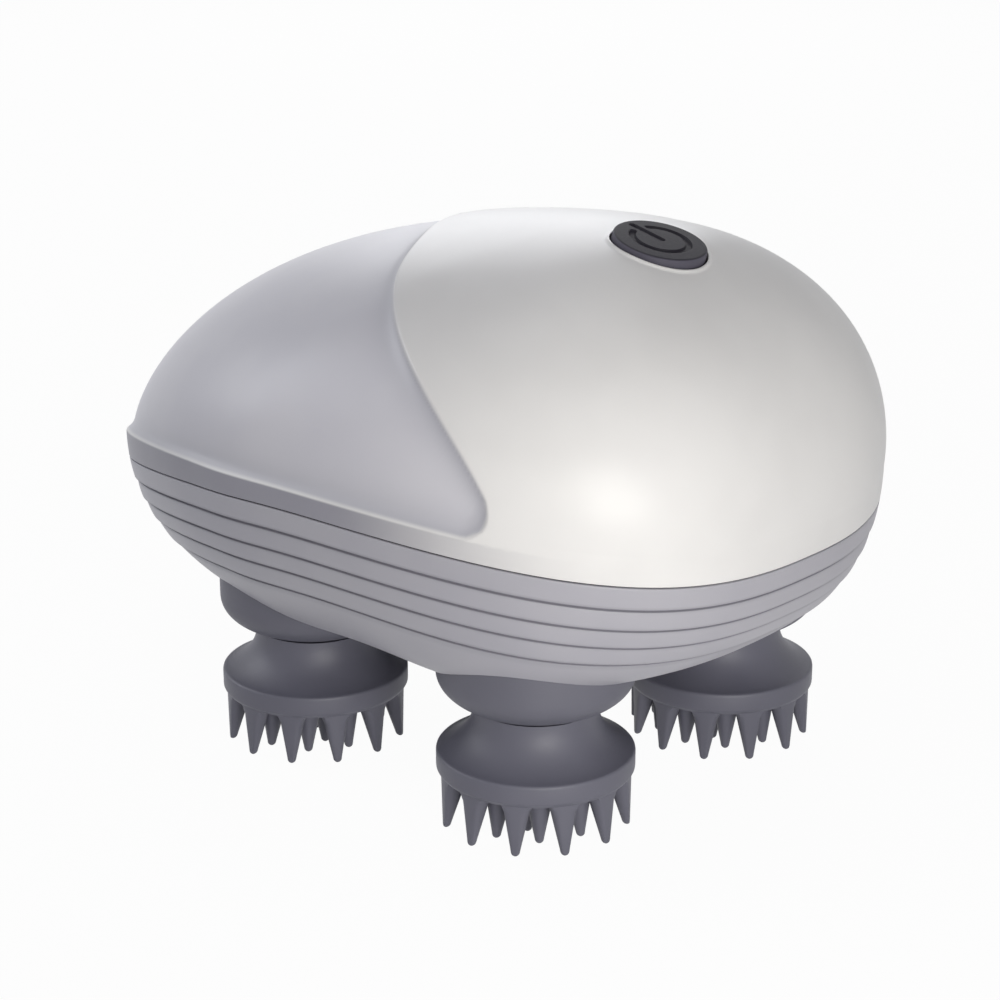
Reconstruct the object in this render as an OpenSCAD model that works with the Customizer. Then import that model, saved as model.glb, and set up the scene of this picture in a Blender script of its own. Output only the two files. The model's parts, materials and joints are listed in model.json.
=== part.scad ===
// Four-head kneading massager for pets: an egg-shaped body that stands on its massage heads.
// +X is the nose, +Y the left side, +Z up. The origin is under the middle of the body, on the
// plane that the spike tips stand on. Millimetres.

/* [Body] */
// Length of the body from tail to nose
body_l = 118; // [115:0.5:121]
// Width of the body at its widest outline
body_w = 87.2; // [85:0.2:91]
// Length of the nose half, in front of the widest point
nose_l = 55.3; // [53:0.1:57]
// Height of the widest outline above the spike tips
widest_z = 46.9; // [46.3:0.1:48.1]
// Height of the dome above the widest outline
dome_h = 28.3; // [27.5:0.1:31]
// How far the top of the dome leans towards the nose
dome_lean = 18.3; // [16.5:0.1:19.5]
// Depth of the lower hull, before its floor flattens it
hull_h = 34.8; // [34.2:0.1:35.4]
// Height of the flat floor under the hull
floor_z = 19.7; // [19.2:0.1:20.2]
// Wall of the cover and of the housing
wall = 2.2; // [1.8:0.1:2.4]
// Rise of the parting line per millimetre towards the nose
seam_tilt = 0.061; // [0.055:0.001:0.065]
// Height of the parting line under the widest outline
seam_drop = 4; // [3.5:0.1:4.4]
// Thickness of the gasket in the parting line
seam_t = 0.4; // [0.3:0.05:0.6]

/* [Cover relief] */
// Depth of the lowered panel round the tail
relief_depth = 0.8; // [0.5:0.1:1.2]
// Height of the rim band between the panel and the parting line
relief_band = 4.2; // [3.6:0.1:4.6]
// Front end of the lowered panel
relief_front_x = 38.5; // [36:0.5:40]
// Corner radius at the front end of the panel
relief_corner_r = 4; // [3:0.5:5]

/* [Hull bands] */
// Depth of the first groove under the parting line
band_1 = 3.4; // [3:0.1:3.8]
// Depth of the second groove under the parting line
band_2 = 6.6; // [6.2:0.1:7]
// Depth of the third groove under the parting line
band_3 = 9.6; // [9.3:0.1:10]
// Depth of the fourth groove under the parting line
band_4 = 12.9; // [12.6:0.1:13.3]
// How far each band sits behind the lower edge of the band above
band_step = 0.35; // [0.2:0.05:0.5]

/* [Massage heads] */
// Middle of the four heads, measured along the body
heads_x = 9.9; // [9:0.1:11]
// Distance between the front and the rear head axes
head_pitch_x = 41.8; // [41:0.2:42.6]
// Distance between the left and the right head axes
head_pitch_y = 39.7; // [39.1:0.1:40.3]
// Diameter of a head's disc
disc_d = 26.2; // [25:0.2:27]
// Thickness of the disc's rim
disc_t = 3; // [2.4:0.1:3.6]
// Length of the spikes under the disc
spike_l = 7.6; // [7:0.1:7.8]
// Diameter of a spike where it leaves the disc
spike_base_d = 3.8; // [3.2:0.1:4.2]
// Diameter of a spike's flat tip
spike_tip_d = 1; // [0.8:0.1:1.2]
// Diameter of the circle on which the outer tips stand
tip_ring_d = 24.6; // [23.6:0.2:25]
// Height of the flare from the rim up to the neck
flare_h = 4.6; // [4.2:0.1:5]
// Diameter of the neck at the top of the head
neck_d = 11.8; // [11.2:0.2:12.4]

/* [Cups] */
// Gap between a turning head and its fixed cup
cup_gap = 0.4; // [0.3:0.05:0.6]
// Diameter of a cup
cup_d = 26.2; // [25.4:0.2:26.6]
// Height of the rounded bottom of a cup
cup_drop = 5.8; // [5.4:0.1:6.2]
// Wall of a cup
cup_wall = 1.8; // [1.4:0.1:2.2]

/* [Power button] */
// Place of the button along the body
button_x = 33.9; // [32:0.1:35]
// Diameter of the button
button_d = 12.4; // [11.6:0.1:13]
// Height of the button above the cover
button_proud = 1; // [0.7:0.1:1.3]
// Travel of the button
button_travel = 0.6; // [0.4:0.1:0.7]
// Gap round the button
button_gap = 0.3; // [0.25:0.05:0.35]

/* [Drive] */
// Diameter of the head shafts
shaft_d = 4; // [3.6:0.1:4.4]
// Running clearance of a shaft in its bush, on the radius
shaft_clear = 0.05; // [0.03:0.01:0.08]
// Teeth of a head gear
head_teeth = 22; // [22:1:22]
// Teeth of an idler's pinion
pinion_teeth = 20; // [20:1:20]
// Teeth of an idler's worm wheel
wheel_teeth = 30; // [30:1:30]
// Pitch radius of the worm
worm_r = 4.5; // [4.3:0.1:4.7]
// Face width of the head gears
gear_face = 3.6; // [3:0.1:3.8]
// Face width of the worm wheels
wheel_face = 3.6; // [3:0.1:4]
// Diameter of the idler axles
axle_d = 3; // [2.6:0.1:3.4]
// Length of the motor can
motor_l = 24; // [22:0.5:25]
// Diameter of the motor can
motor_d = 20.1; // [19:0.1:20.6]
// Thickness of the motor can across its flats
motor_flat = 15.1; // [14.4:0.1:15.6]
// Diameter of the motor shaft
motor_shaft_d = 2; // [1.8:0.1:2.3]

/* [Gearbox frame] */
// Height of the underside of the gear tray
tray_z = 29.1; // [28.8:0.1:29.4]
// Thickness of the gear tray
tray_t = 2; // [1.6:0.1:2.2]
// Space between the tray and the deck
gear_space = 5.1; // [4.9:0.1:5.3]
// Thickness of the gear deck
deck_t = 1.6; // [1.4:0.1:2]
// Thickness of the bridge over the worm wheels
bridge_t = 1.5; // [1.2:0.1:1.8]

/* [Battery] */
// Diameter of the cell
cell_d = 14; // [13.6:0.1:14.4]
// Length of the cell
cell_l = 43; // [40:0.5:44]

/* [Charge port] */
// Height of the charge port at the tail
port_z = 40.1; // [39.6:0.1:40.6]
// Width of the socket's shell
socket_w = 8.9; // [8.5:0.1:9.2]
// Height of the socket's shell
socket_h = 3.3; // [3.1:0.1:3.5]

/* [Hidden] */
SIDES = ["front_left", "front_right", "rear_left", "rear_right"];

// Shape of the body: how square each outline and each profile is
nose_square = 2.53;
tail_square = 1.77;
nose_profile = 1.65;
tail_profile = 1.85;
side_profile = 2.07;
nose_hull = [2.27, 2.27];
tail_hull = [2.1, 1.88];
side_hull = [2.02, 2.52];
lean_power = 1.32;
apex_power = 16;
hull_lean = -0.66;
hull_bulge = 0.25;
seam_bow = 0.0026;
floor_blend = 3.7;
body_x = body_l / 2 - nose_l;
ring_n = 72;
dome_steps = 14;
groove_h = 0.25;
groove_depth = 0.6;
seam_level = seam_drop / hull_h;
bands = [band_1, band_2, band_3, band_4];

// The two screw pillars between the shells stand behind the motor and in front of the gears
tail_pillar_back = 49.9;
nose_pillar_ahead = 33.1;
pillar_xs = [heads_x - tail_pillar_back, heads_x + nose_pillar_ahead];

// Heights of the heads and cups
disc_z = spike_l;
rim_z = spike_l + disc_t;
head_top_z = rim_z + flare_h;
cup_z = head_top_z + cup_gap;
belly_z = cup_z + cup_drop;
cup_round = cup_drop / sqrt(1 - pow(neck_d / cup_d, 2));
shaft_r = shaft_d / 2;
fit = 0.01;

// Drive: the idler axles stand midway between the front and rear heads
idler_y = head_pitch_y / 2;
spur_module = head_pitch_x / (head_teeth + pinion_teeth);
wheel_r = idler_y - worm_r;
wheel_module = 2 * wheel_r / wheel_teeth;
worm_pitch = PI * wheel_module;
backlash = 0.3;
thread_t = 1;
addendum = 0.9;
dedendum = 1.2;
side_gap = 0.3;
gear_z = tray_z + tray_t + 0.5;
deck_z = tray_z + tray_t + gear_space;
deck_top = deck_z + deck_t;
motor_z = deck_top + motor_flat / 2;
motor_face_x = heads_x - wheel_r - addendum - 2.7;
plate_t = 1.8;
bridge_z = motor_z + worm_r + addendum + 0.5;
bridge_top = bridge_z + bridge_t;
idler_hub_r = 3.6;
worm_l = 13;
bush_x = heads_x + 10.5;
bush_l = 3;
bush_r = 2;
lug_r = 3.8;
shaft_end_x = bush_x + bush_l + 0.6;
cap_l = 2.5;
hub_l = 1.5;
hub_r = 3;
tail_boss_back = 37.9;
boss_xs = [heads_x - tail_boss_back, heads_x, heads_x + head_pitch_x / 2 + 3.2];
posts = [[heads_x + 19.1, 5], [heads_x + 19.1, -5], [heads_x - 17.9, 14.6], [heads_x - 17.9, -14.6]];
post_r = 1.9;
clamp_x = motor_face_x - 11;
clamp_w = 8;
clamp_t = 1.2;
clamp_y = motor_d / 2 + 3.4;

// Screws
frame_screw_r = 1.25;
small_screw_r = 0.95;
cover_screw_r = 1.25;
pillar_r = 2.8;
pillar_z = 33.6;
screw_seat_z = 25.6;
cup_screw_dx = 8;

// Button stack, measured along the button's own axis from the cover's surface
flange_r = button_d / 2 + 0.8;
flange_top = -2.65;
flange_t = 0.75;
collar_r = flange_r + 1.2;
collar_end = -4.8;
seal_t = 0.7;
stem_r = 1.6;
stem_end = -6.6;
switch_top = -7;
board_top = -10.5;
board_t = 1.6;
board_u = [-15, 9];
board_y = 10;
board_boss = [[-12.6, 7.6], [-12.6, -7.6], [6.6, 7.8], [6.6, -7.8]];
board_boss_r = 2.06;

// Battery place
cell_x = heads_x - 4;
cell_z = bridge_top + 1.4 + cell_d / 2;
holder_wall = 1.5;
holder_gap = 0.25;
contact_t = 0.4;

// Charge port, measured inwards from the cover's surface
plug_w = 13;
plug_h = 7;
plug_t = 1.4;
plug_gap = 0.3;
plug_reach = 3.4;
pocket_end = relief_depth + plug_t + plug_gap;
port_boss_end = pocket_end + 2.2;
socket_start = pocket_end + 0.2;
socket_l = 7.3;
socket_wall = 0.3;
charge_board_x = [port_boss_end + 0.4, port_boss_end + 10.4];
charge_screw = [port_boss_end + 7.4, 6.7];

// Outline and profile formulas
function signed_pow(c, n) = sign(c) * pow(abs(c), n);
function crown(x) = seam_tilt * x - seam_bow * x * x;
function fall(t, m) = pow(max(0, 1 - pow(t, m)), 1 / m);
function hull_fall(t, m) = pow(max(0, 1 - pow(t, m[0])), 1 / m[1]);
function dome_fall(s, m) = fall(s, m + (2 - m) * pow(s, apex_power));
function rest_on_floor(z, floor) = (z + floor + sqrt(pow(z - floor, 2) + pow(floor_blend, 2))) / 2;
// The hull swells beside the front cups, so that its edge passes in front of them
function bulge(x, y, t) = x > 0 ? 1 + hull_bulge * pow(2 * x * y / (x * x + y * y + 0.0001), 4) * pow(t, 3) : 1;
function squareness(c) = c >= 0 ? nose_square : tail_square;
function oval_x(c, nose, tail) = (c >= 0 ? nose : tail) * signed_pow(c, 2 / squareness(c));
function oval_y(a, side) = side * signed_pow(sin(a), 2 / squareness(cos(a)));

// One point of the body's skin. Levels over 0 climb the dome to 1, levels under 0 go down the hull.
function dome_point(a, s, inset) =
    let (x = body_x + dome_lean * pow(s, lean_power)
            + oval_x(cos(a), (nose_l - inset) * dome_fall(s, nose_profile),
                     (body_l - nose_l - inset) * dome_fall(s, tail_profile)))
    [x, oval_y(a, (body_w / 2 - inset) * dome_fall(s, side_profile)),
     widest_z + crown(x) * (1 - s) + (dome_h - inset) * s];
function hull_point(a, t, inset) =
    let (ox = oval_x(cos(a), (nose_l - inset) * hull_fall(t, nose_hull),
                     (body_l - nose_l - inset) * hull_fall(t, tail_hull)),
         oy = oval_y(a, (body_w / 2 - inset) * hull_fall(t, side_hull)),
         grow = bulge(ox, oy, t),
         x = body_x + hull_lean * t * t / (t + 0.08) + ox * grow)
    [x, oy * grow, rest_on_floor(widest_z + crown(x) - hull_h * t, floor_z + inset)];
function skin_point(a, level, inset) =
    level >= 0 ? dome_point(a, level, inset) : hull_point(a, -level, inset);
function skin_ring(level, inset, lift = 0) =
    [for (i = [0 : ring_n - 1]) skin_point(360 * i / ring_n, level, inset) + [0, 0, lift]];

// Levels from low to high
function dome_levels() = [for (i = [0 : dome_steps - 1]) sin(88 * i / (dome_steps - 1))];
function hull_levels(first) =
    [for (i = [0 : 7]) -(first + (0.97 - first) * i / 7)];

// The centre line of the dome: its point at a level, on the nose side or the tail side
function ridge(s, side) = dome_point(side > 0 ? 0 : 180, s, 0);
function find_x(x, low = 0, high = 1, n = 24) =
    n == 0 ? low
    : let (mid = (low + high) / 2)
      ridge(mid, 1)[0] > x ? find_x(x, mid, high, n - 1) : find_x(x, low, mid, n - 1);
function find_z(z, low = 0, high = 1, n = 24) =
    n == 0 ? low
    : let (mid = (low + high) / 2)
      ridge(mid, -1)[2] < z ? find_z(z, mid, high, n - 1) : find_z(z, low, mid, n - 1);
button_z = ridge(find_x(button_x), 1)[2];
button_back = ridge(find_x(button_x - 2), 1);
button_front = ridge(find_x(button_x + 2), 1);
button_tilt = atan2(button_back[2] - button_front[2], button_front[0] - button_back[0]);
port_x = ridge(find_z(port_z), -1)[0];
port_low = ridge(find_z(port_z - 2), -1);
port_high = ridge(find_z(port_z + 2), -1);
port_tilt = atan2(port_high[0] - port_low[0], port_high[2] - port_low[2]);

// The seam's fan: the surface that both shells and the gasket share
seam_centre = [body_x, 0, widest_z - seam_drop + crown(body_x)];
function seam_point(i, share) =
    let (p = hull_point(360 * i / ring_n, seam_level, 0)) p + (seam_centre - p) * share;

// Closed solid through rings from low to high, with a point under the first and over the last
module loft(rings, low_point, high_point) {
    n = len(rings[0]);
    k = len(rings);
    polyhedron(
        points = concat([for (r = rings) for (p = r) p], [low_point, high_point]),
        faces = concat(
            [for (j = [0 : k - 2]) for (i = [0 : n - 1]) for (f = [0, 1])
                let (a = j * n + i, b = j * n + (i + 1) % n)
                f == 0 ? [a, b + n, b] : [a, a + n, b + n]],
            [for (i = [0 : n - 1]) [i, (i + 1) % n, k * n]],
            [for (i = [0 : n - 1]) [(k - 1) * n + (i + 1) % n, (k - 1) * n + i, k * n + 1]]
        )
    );
}

// Keeps a boolean of free-form shells as one mesh
module one_mesh() resize([0, 0, 0]) children();

module dome_solid(inset, from_level) {
    levels = concat([from_level, from_level / 2], dome_levels());
    lift = inset == 0 ? seam_t / 2 : 0;
    first = skin_ring(from_level, inset, lift);
    loft(
        concat([first], [for (i = [1 : len(levels) - 1]) skin_ring(levels[i], inset)]),
        [seam_centre[0], 0, seam_centre[2] + lift - (inset == 0 ? 0 : 6)],
        dome_point(0, 1, inset)
    );
}

module hull_solid() {
    grooves = [for (b = bands) seam_level + b / hull_h];
    edge = groove_h / hull_h;
    rings = concat(
        [[seam_level, 0]],
        [for (g = grooves) for (k = [[-edge, 0], [0, groove_depth], [edge, band_step]]) [g + k[0], k[1]]],
        [for (i = [1 : 7]) let (g = grooves[3] + edge) [g + (0.97 - g) * i / 7, band_step * (1 - i / 7)]]
    );
    n = len(rings);
    loft(
        [for (j = [n - 1 : -1 : 0])
            skin_ring(-rings[j][0], rings[j][1], j == 0 ? -seam_t / 2 : 0)],
        hull_point(0, 1, 0),
        [seam_centre[0], 0, seam_centre[2] - seam_t / 2]
    );
}

module hull_cavity() {
    levels = hull_levels(0);
    loft(
        concat([for (j = [7 : -1 : 0]) skin_ring(levels[j], wall)], [skin_ring(0.25, wall)]),
        hull_point(0, 1, wall),
        [seam_centre[0], 0, widest_z + 6]
    );
}

// Side view of the lowered panel: under a curved edge that drops to the front, over the rim band
module relief_side() {
    top_x = -8;
    curve = 1.65;
    band_z = widest_z - seam_drop + relief_band;
    corner = relief_corner_r;
    low_z = band_z + crown(relief_front_x - corner);
    start_z = low_z + corner + 0.2;
    rise = widest_z + dome_h - 2.3 - start_z;
    polygon(concat(
        [for (x = [-body_l / 2 - 5 : 4 : relief_front_x - corner - 2]) [x, band_z + crown(x)]],
        [for (a = [-90 : 18 : 0]) [relief_front_x - corner + corner * cos(a), low_z + corner + corner * sin(a)]],
        [for (i = [0 : 12])
            let (a = 90 * i / 12)
            [top_x + (relief_front_x - top_x) * pow(cos(a), 2 / curve), start_z + rise * pow(sin(a), 2 / curve)]],
        [[-body_l / 2 - 5, start_z + rise]]
    ));
}

module button_frame() translate([button_x, 0, button_z]) rotate([0, button_tilt, 0]) children();

module post(x, y, r, z0, z1) translate([x, y, z0]) cylinder(r = r, h = z1 - z0, $fn = 48);

module screw(r, length, head_r, head_h) {
    translate([0, 0, -length]) cylinder(r = r, h = length + 0.1, $fn = 32);
    difference() {
        cylinder(r = head_r, h = head_h, $fn = 32);
        for (a = [0, 90]) rotate(a)
            translate([-head_r * 0.6, -head_r * 0.11, head_h * 0.5]) cube([head_r * 1.2, head_r * 0.22, head_h]);
    }
}

// Places that repeat
function head_x(i) = heads_x + (i < 2 ? 1 : -1) * head_pitch_x / 2;
function head_y(i) = (i % 2 == 0 ? 1 : -1) * head_pitch_y / 2;
module at_head(i) translate([head_x(i), head_y(i), 0]) children();
module at_heads() for (i = [0 : 3]) at_head(i) children();

// Shells

module top_cover() {
    color([0.94, 0.93, 0.93]) difference() {
        one_mesh() difference() {
            union() {
                difference() {
                    dome_solid(0, -seam_level);
                    translate([0, body_w, 0]) rotate([90, 0, 0])
                        linear_extrude(2 * body_w) relief_side();
                }
                intersection() {
                    dome_solid(relief_depth, -seam_level - 0.05);
                    dome_solid(0, -seam_level);
                }
            }
            difference() {
                dome_solid(wall, -seam_level - 0.2);
                port_frame() slot(plug_w + 3, plug_h + 3, -2, port_boss_end);
                port_frame() for (s = [-1, 1])
                    translate([-2, s * charge_screw[1] - 1.8, -socket_h / 2]) cube([charge_board_x[1] + 1.6, 3.6, 4]);
                for (x = pillar_xs) post(x, 0, pillar_r, pillar_z, widest_z + dome_h);
                button_frame() translate([0, 0, collar_end]) cylinder(r = collar_r, h = 6, $fn = 64);
                button_frame() for (p = board_boss)
                    translate([p[0], p[1], board_top]) cylinder(r = board_boss_r, h = 14, $fn = 32);
            }
        }
        button_frame() {
            translate([0, 0, -9]) cylinder(r = button_d / 2 + button_gap, h = 12, $fn = 96);
            translate([0, 0, -9]) cylinder(r = flange_r + button_gap, h = 9 + flange_top + 0.3, $fn = 96);
            for (p = board_boss) translate([p[0], p[1], board_top - 1])
                cylinder(r = small_screw_r + fit, h = 5, $fn = 32);
        }
        for (x = pillar_xs) translate([x, 0, pillar_z - 1]) cylinder(r = cover_screw_r + fit, h = 9, $fn = 32);
        port_frame() {
            slot(plug_w + 2 * plug_gap, plug_h + 2 * plug_gap, -6, pocket_end);
            slot(socket_w + 0.3, socket_h + 0.3, -6, port_boss_end + 2);
            for (s = [-1, 1]) translate([charge_screw[0], s * charge_screw[1], -socket_h / 2 - 1])
                cylinder(r = small_screw_r + fit, h = 4, $fn = 32);
        }
    }
}

module lower_housing() {
    color([0.62, 0.61, 0.66]) difference() {
        one_mesh() difference() {
            hull_solid();
            difference() {
                hull_cavity();
                for (x = boss_xs) post(x, 0, 3, 0, tray_z);
                for (x = pillar_xs) post(x, 0, pillar_r + 0.5, 0, pillar_z - 0.1);
            }
        }
        at_heads() translate([0, 0, -1]) cylinder(r = cup_d / 2 + 0.1, h = tray_z + 1, $fn = 96);
        for (x = boss_xs) translate([x, 0, tray_z - 7]) cylinder(r = frame_screw_r + fit, h = 8, $fn = 32);
        for (x = pillar_xs) {
            translate([x, 0, 0]) cylinder(r = 2.7, h = screw_seat_z, $fn = 48);
            translate([x, 0, 0]) cylinder(r = cover_screw_r + 0.2, h = 60, $fn = 32);
        }
    }
}

module seam_gasket() {
    outer_share = 0.3 / (body_w / 2);
    inner_share = (wall - 0.15) / (body_w / 2 + 8);
    rim = [for (share = [outer_share, inner_share]) for (lift = [-seam_t / 2, seam_t / 2])
        [for (i = [0 : ring_n - 1]) seam_point(i, share) + [0, 0, lift]]];
    n = ring_n;
    color([0.22, 0.21, 0.24]) polyhedron(
        points = [for (r = rim) for (p = r) p],
        faces = [for (i = [0 : n - 1]) for (pair = [[0, 1], [1, 3], [3, 2], [2, 0]]) for (f = [0, 1])
            let (k = (i + 1) % n, a = pair[0] * n + i, b = pair[0] * n + k, c = pair[1] * n + k, d = pair[1] * n + i)
            f == 0 ? [a, c, b] : [a, d, c]]
    );
}

// Power button and its switch

module power_button() {
    top = button_proud;
    mark_r = button_d * 0.26;
    color([0.2, 0.19, 0.23]) button_frame() difference() {
        union() {
            translate([0, 0, flange_top - 0.2]) cylinder(r = button_d / 2, h = top - flange_top - 0.2, $fn = 96);
            translate([0, 0, top - 0.4]) cylinder(r1 = button_d / 2, r2 = button_d / 2 - 0.4, h = 0.4, $fn = 96);
            translate([0, 0, flange_top - flange_t]) cylinder(r = flange_r, h = flange_t, $fn = 96);
            translate([0, 0, stem_end]) cylinder(r = stem_r, h = flange_top - stem_end, $fn = 48);
        }
        translate([0, 0, top - 0.25]) rotate(180 + 40) rotate_extrude(angle = 280, $fn = 96)
            translate([mark_r - 0.35, 0]) square([0.7, 1]);
        translate([-mark_r - 0.9, -0.35, top - 0.25]) cube([mark_r + 0.9, 0.7, 1]);
    }
}

module button_seal() {
    color([0.3, 0.3, 0.32]) button_frame() translate([0, 0, collar_end - seal_t]) difference() {
        cylinder(r = collar_r - 0.4, h = seal_t, $fn = 64);
        translate([0, 0, -1]) cylinder(r = stem_r + 0.3, h = 3, $fn = 48);
    }
}

module switch_body() {
    color([0.12, 0.12, 0.13]) button_frame() difference() {
        translate([-3, -3, board_top]) cube([6, 6, switch_top - board_top]);
        translate([0, 0, switch_top - 2.2]) cylinder(r = 2, h = 3, $fn = 48);
    }
}

module switch_plunger() {
    color([0.75, 0.75, 0.72]) button_frame() translate([0, 0, switch_top - 1.3])
        cylinder(r = 1.7, h = stem_end - switch_top + 1.3, $fn = 48);
}

module main_board() {
    color([0.05, 0.3, 0.16]) button_frame() difference() {
        translate([board_u[0], -board_y, board_top - board_t])
            cube([board_u[1] - board_u[0], 2 * board_y, board_t]);
        for (p = board_boss) translate([p[0], p[1], board_top - board_t - 1])
            cylinder(r = small_screw_r + 0.1, h = 4, $fn = 32);
    }
}

module board_screws() {
    color([0.7, 0.7, 0.72]) button_frame() for (p = board_boss)
        translate([p[0], p[1], board_top - board_t]) rotate([180, 0, 0]) screw(small_screw_r, 4.6, 1.7, 1.1);
}

// Battery

module battery_cell() {
    color([0.2, 0.4, 0.62]) translate([cell_x, 0, cell_z]) rotate([90, 0, 0]) {
        cylinder(r = cell_d / 2, h = cell_l, center = true, $fn = 96);
        translate([0, 0, cell_l / 2 - 0.1]) cylinder(r = 2.6, h = 0.6, $fn = 48);
    }
}

module cell_contacts() {
    color([0.8, 0.79, 0.72]) for (side = [-1, 1])
        translate([cell_x - 4, side * (cell_l / 2 + 0.5 + contact_t / 2) - contact_t / 2, cell_z - 4])
            cube([8, contact_t, 8]);
}

module battery_holder() {
    inner_l = cell_l + 1 + 2 * contact_t;
    clip_r = cell_d / 2 + holder_gap;
    base = bridge_top;
    color([0.16, 0.16, 0.17]) difference() {
        union() {
            translate([cell_x - 8.5, -inner_l / 2 - holder_wall, base])
                cube([17, inner_l + 2 * holder_wall, 1.1]);
            for (side = [-1, 1])
                translate([cell_x - 6, side * (inner_l / 2 + holder_wall / 2) - holder_wall / 2, base])
                    cube([12, holder_wall, cell_d / 2 + 5]);
            for (y = [-15, 9])
                translate([cell_x, y, cell_z]) rotate([-90, 0, 0])
                    cylinder(r = clip_r + holder_wall, h = 6, $fn = 64);
        }
        translate([cell_x, 0, cell_z]) rotate([90, 0, 0])
            cylinder(r = clip_r, h = inner_l, center = true, $fn = 96);
        translate([cell_x - 12, -30, cell_z + 2.5]) cube([24, 60, 30]);
        translate([cell_x - 20, -40, base - 5]) cube([40, 80, 5]);
    }
}

// Gearbox frame

module plate(corners, z, t) translate([0, 0, z]) linear_extrude(t) hull()
    for (c = corners) translate([c[0], c[1]]) circle(r = c[2], $fn = 48);

module gear_tray() {
    corners = concat([for (i = [0 : 3]) [head_x(i), head_y(i), 7]], [[boss_xs[0], 0, 4.5]]);
    color([0.85, 0.85, 0.82]) difference() {
        plate(corners, tray_z, tray_t);
        at_heads() {
            translate([0, 0, tray_z - 1]) cylinder(r = shaft_r + 0.4, h = 5, $fn = 48);
            for (s = [-1, 1]) translate([s * cup_screw_dx, 0, tray_z - 1])
                cylinder(r = small_screw_r + 0.1, h = 5, $fn = 32);
        }
        for (y = [-idler_y, idler_y]) translate([heads_x, y, tray_z - 1])
            cylinder(r = axle_d / 2 + fit, h = 5, $fn = 48);
        for (x = boss_xs) translate([x, 0, tray_z - 1]) cylinder(r = frame_screw_r + 0.1, h = 5, $fn = 32);
    }
}

module gear_deck() {
    corners = concat([for (i = [0 : 3]) [head_x(i), head_y(i), 5]],
                     [for (y = [-1, 1]) [motor_face_x - motor_l + 3, y * 9, 4]]);
    lug_top = motor_z + lug_r;
    color([0.85, 0.85, 0.82]) difference() {
        union() {
            plate(corners, deck_z, deck_t);
            for (x = boss_xs) post(x, 0, 3, tray_z + tray_t, deck_z + 0.1);
            for (p = posts) post(p[0], p[1], post_r, deck_top - 0.1, bridge_z);
            translate([motor_face_x, -9, deck_top - 0.1]) cube([plate_t, 18, motor_z + 5 - deck_top + 0.1]);
            translate([bush_x, -lug_r, deck_top - 0.1]) cube([bush_l, 2 * lug_r, motor_z - deck_top + 0.1]);
            translate([bush_x, 0, motor_z]) rotate([0, 90, 0]) cylinder(r = lug_r, h = bush_l, $fn = 64);
            for (s = [-1, 1]) post(clamp_x, s * clamp_y, 2.4, deck_top - 0.1, motor_z - 1);
        }
        at_heads() translate([0, 0, deck_z - 1]) cylinder(r = shaft_r + shaft_clear, h = 5, $fn = 48);
        for (y = [-idler_y, idler_y]) translate([heads_x, y, deck_z - 1])
            cylinder(r = idler_hub_r + side_gap, h = 5, $fn = 64);
        for (x = boss_xs) translate([x, 0, tray_z]) cylinder(r = frame_screw_r + 0.1, h = 20, $fn = 32);
        for (p = posts) translate([p[0], p[1], bridge_z - 6]) cylinder(r = small_screw_r + fit, h = 8, $fn = 32);
        translate([motor_face_x - 1, 0, motor_z]) rotate([0, 90, 0]) cylinder(r = hub_r + 0.1, h = 5, $fn = 64);
        for (s = [-1, 1]) translate([motor_face_x - 1, s * 6, motor_z]) rotate([0, 90, 0])
            cylinder(r = small_screw_r + 0.1, h = 5, $fn = 32);
        translate([bush_x - 1, 0, motor_z]) rotate([0, 90, 0]) cylinder(r = bush_r + fit, h = bush_l + 2, $fn = 48);
        for (s = [-1, 1]) translate([clamp_x, s * clamp_y, motor_z - 6])
            cylinder(r = small_screw_r + fit, h = 8, $fn = 32);
        translate([boss_xs[0], 0, deck_z + 0.4]) cylinder(r = 2.4, h = deck_t, $fn = 32);
    }
}

module gear_bridge() {
    corners = concat([for (p = posts) [p[0], p[1], 3]],
                     [for (y = [-1, 1]) [heads_x, y * idler_y, 4.5]]);
    color([0.85, 0.85, 0.82]) difference() {
        plate(corners, bridge_z, bridge_t);
        translate([motor_face_x - 9.6, -9.4, bridge_z - 1]) cube([10, 18.8, bridge_t + 2]);
        for (p = posts) translate([p[0], p[1], bridge_z - 1]) cylinder(r = small_screw_r + 0.1, h = 5, $fn = 32);
        for (y = [-idler_y, idler_y]) translate([heads_x, y, bridge_z - 1])
            cylinder(r = axle_d / 2 + fit, h = 5, $fn = 48);
    }
}

module gearbox_screws() {
    color([0.7, 0.7, 0.72]) {
        for (i = [1, 2]) translate([boss_xs[i], 0, deck_top]) screw(frame_screw_r, deck_top - tray_z + 5, 2.2, 1.2);
        translate([boss_xs[0], 0, deck_z + 0.4]) screw(frame_screw_r, deck_z + 0.4 - tray_z + 5, 2.2, 1.1);
    }
}

module bridge_screws() {
    color([0.7, 0.7, 0.72]) for (p = posts) translate([p[0], p[1], bridge_top]) screw(small_screw_r, 5.5, 1.7, 1.1);
}

// Motor and worm

module flat_can(x0, x1) {
    intersection() {
        translate([x0, 0, motor_z]) rotate([0, 90, 0]) cylinder(r = motor_d / 2, h = x1 - x0, $fn = 96);
        translate([x0, -motor_d, motor_z - motor_flat / 2]) cube([x1 - x0, 2 * motor_d, motor_flat]);
    }
}

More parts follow.
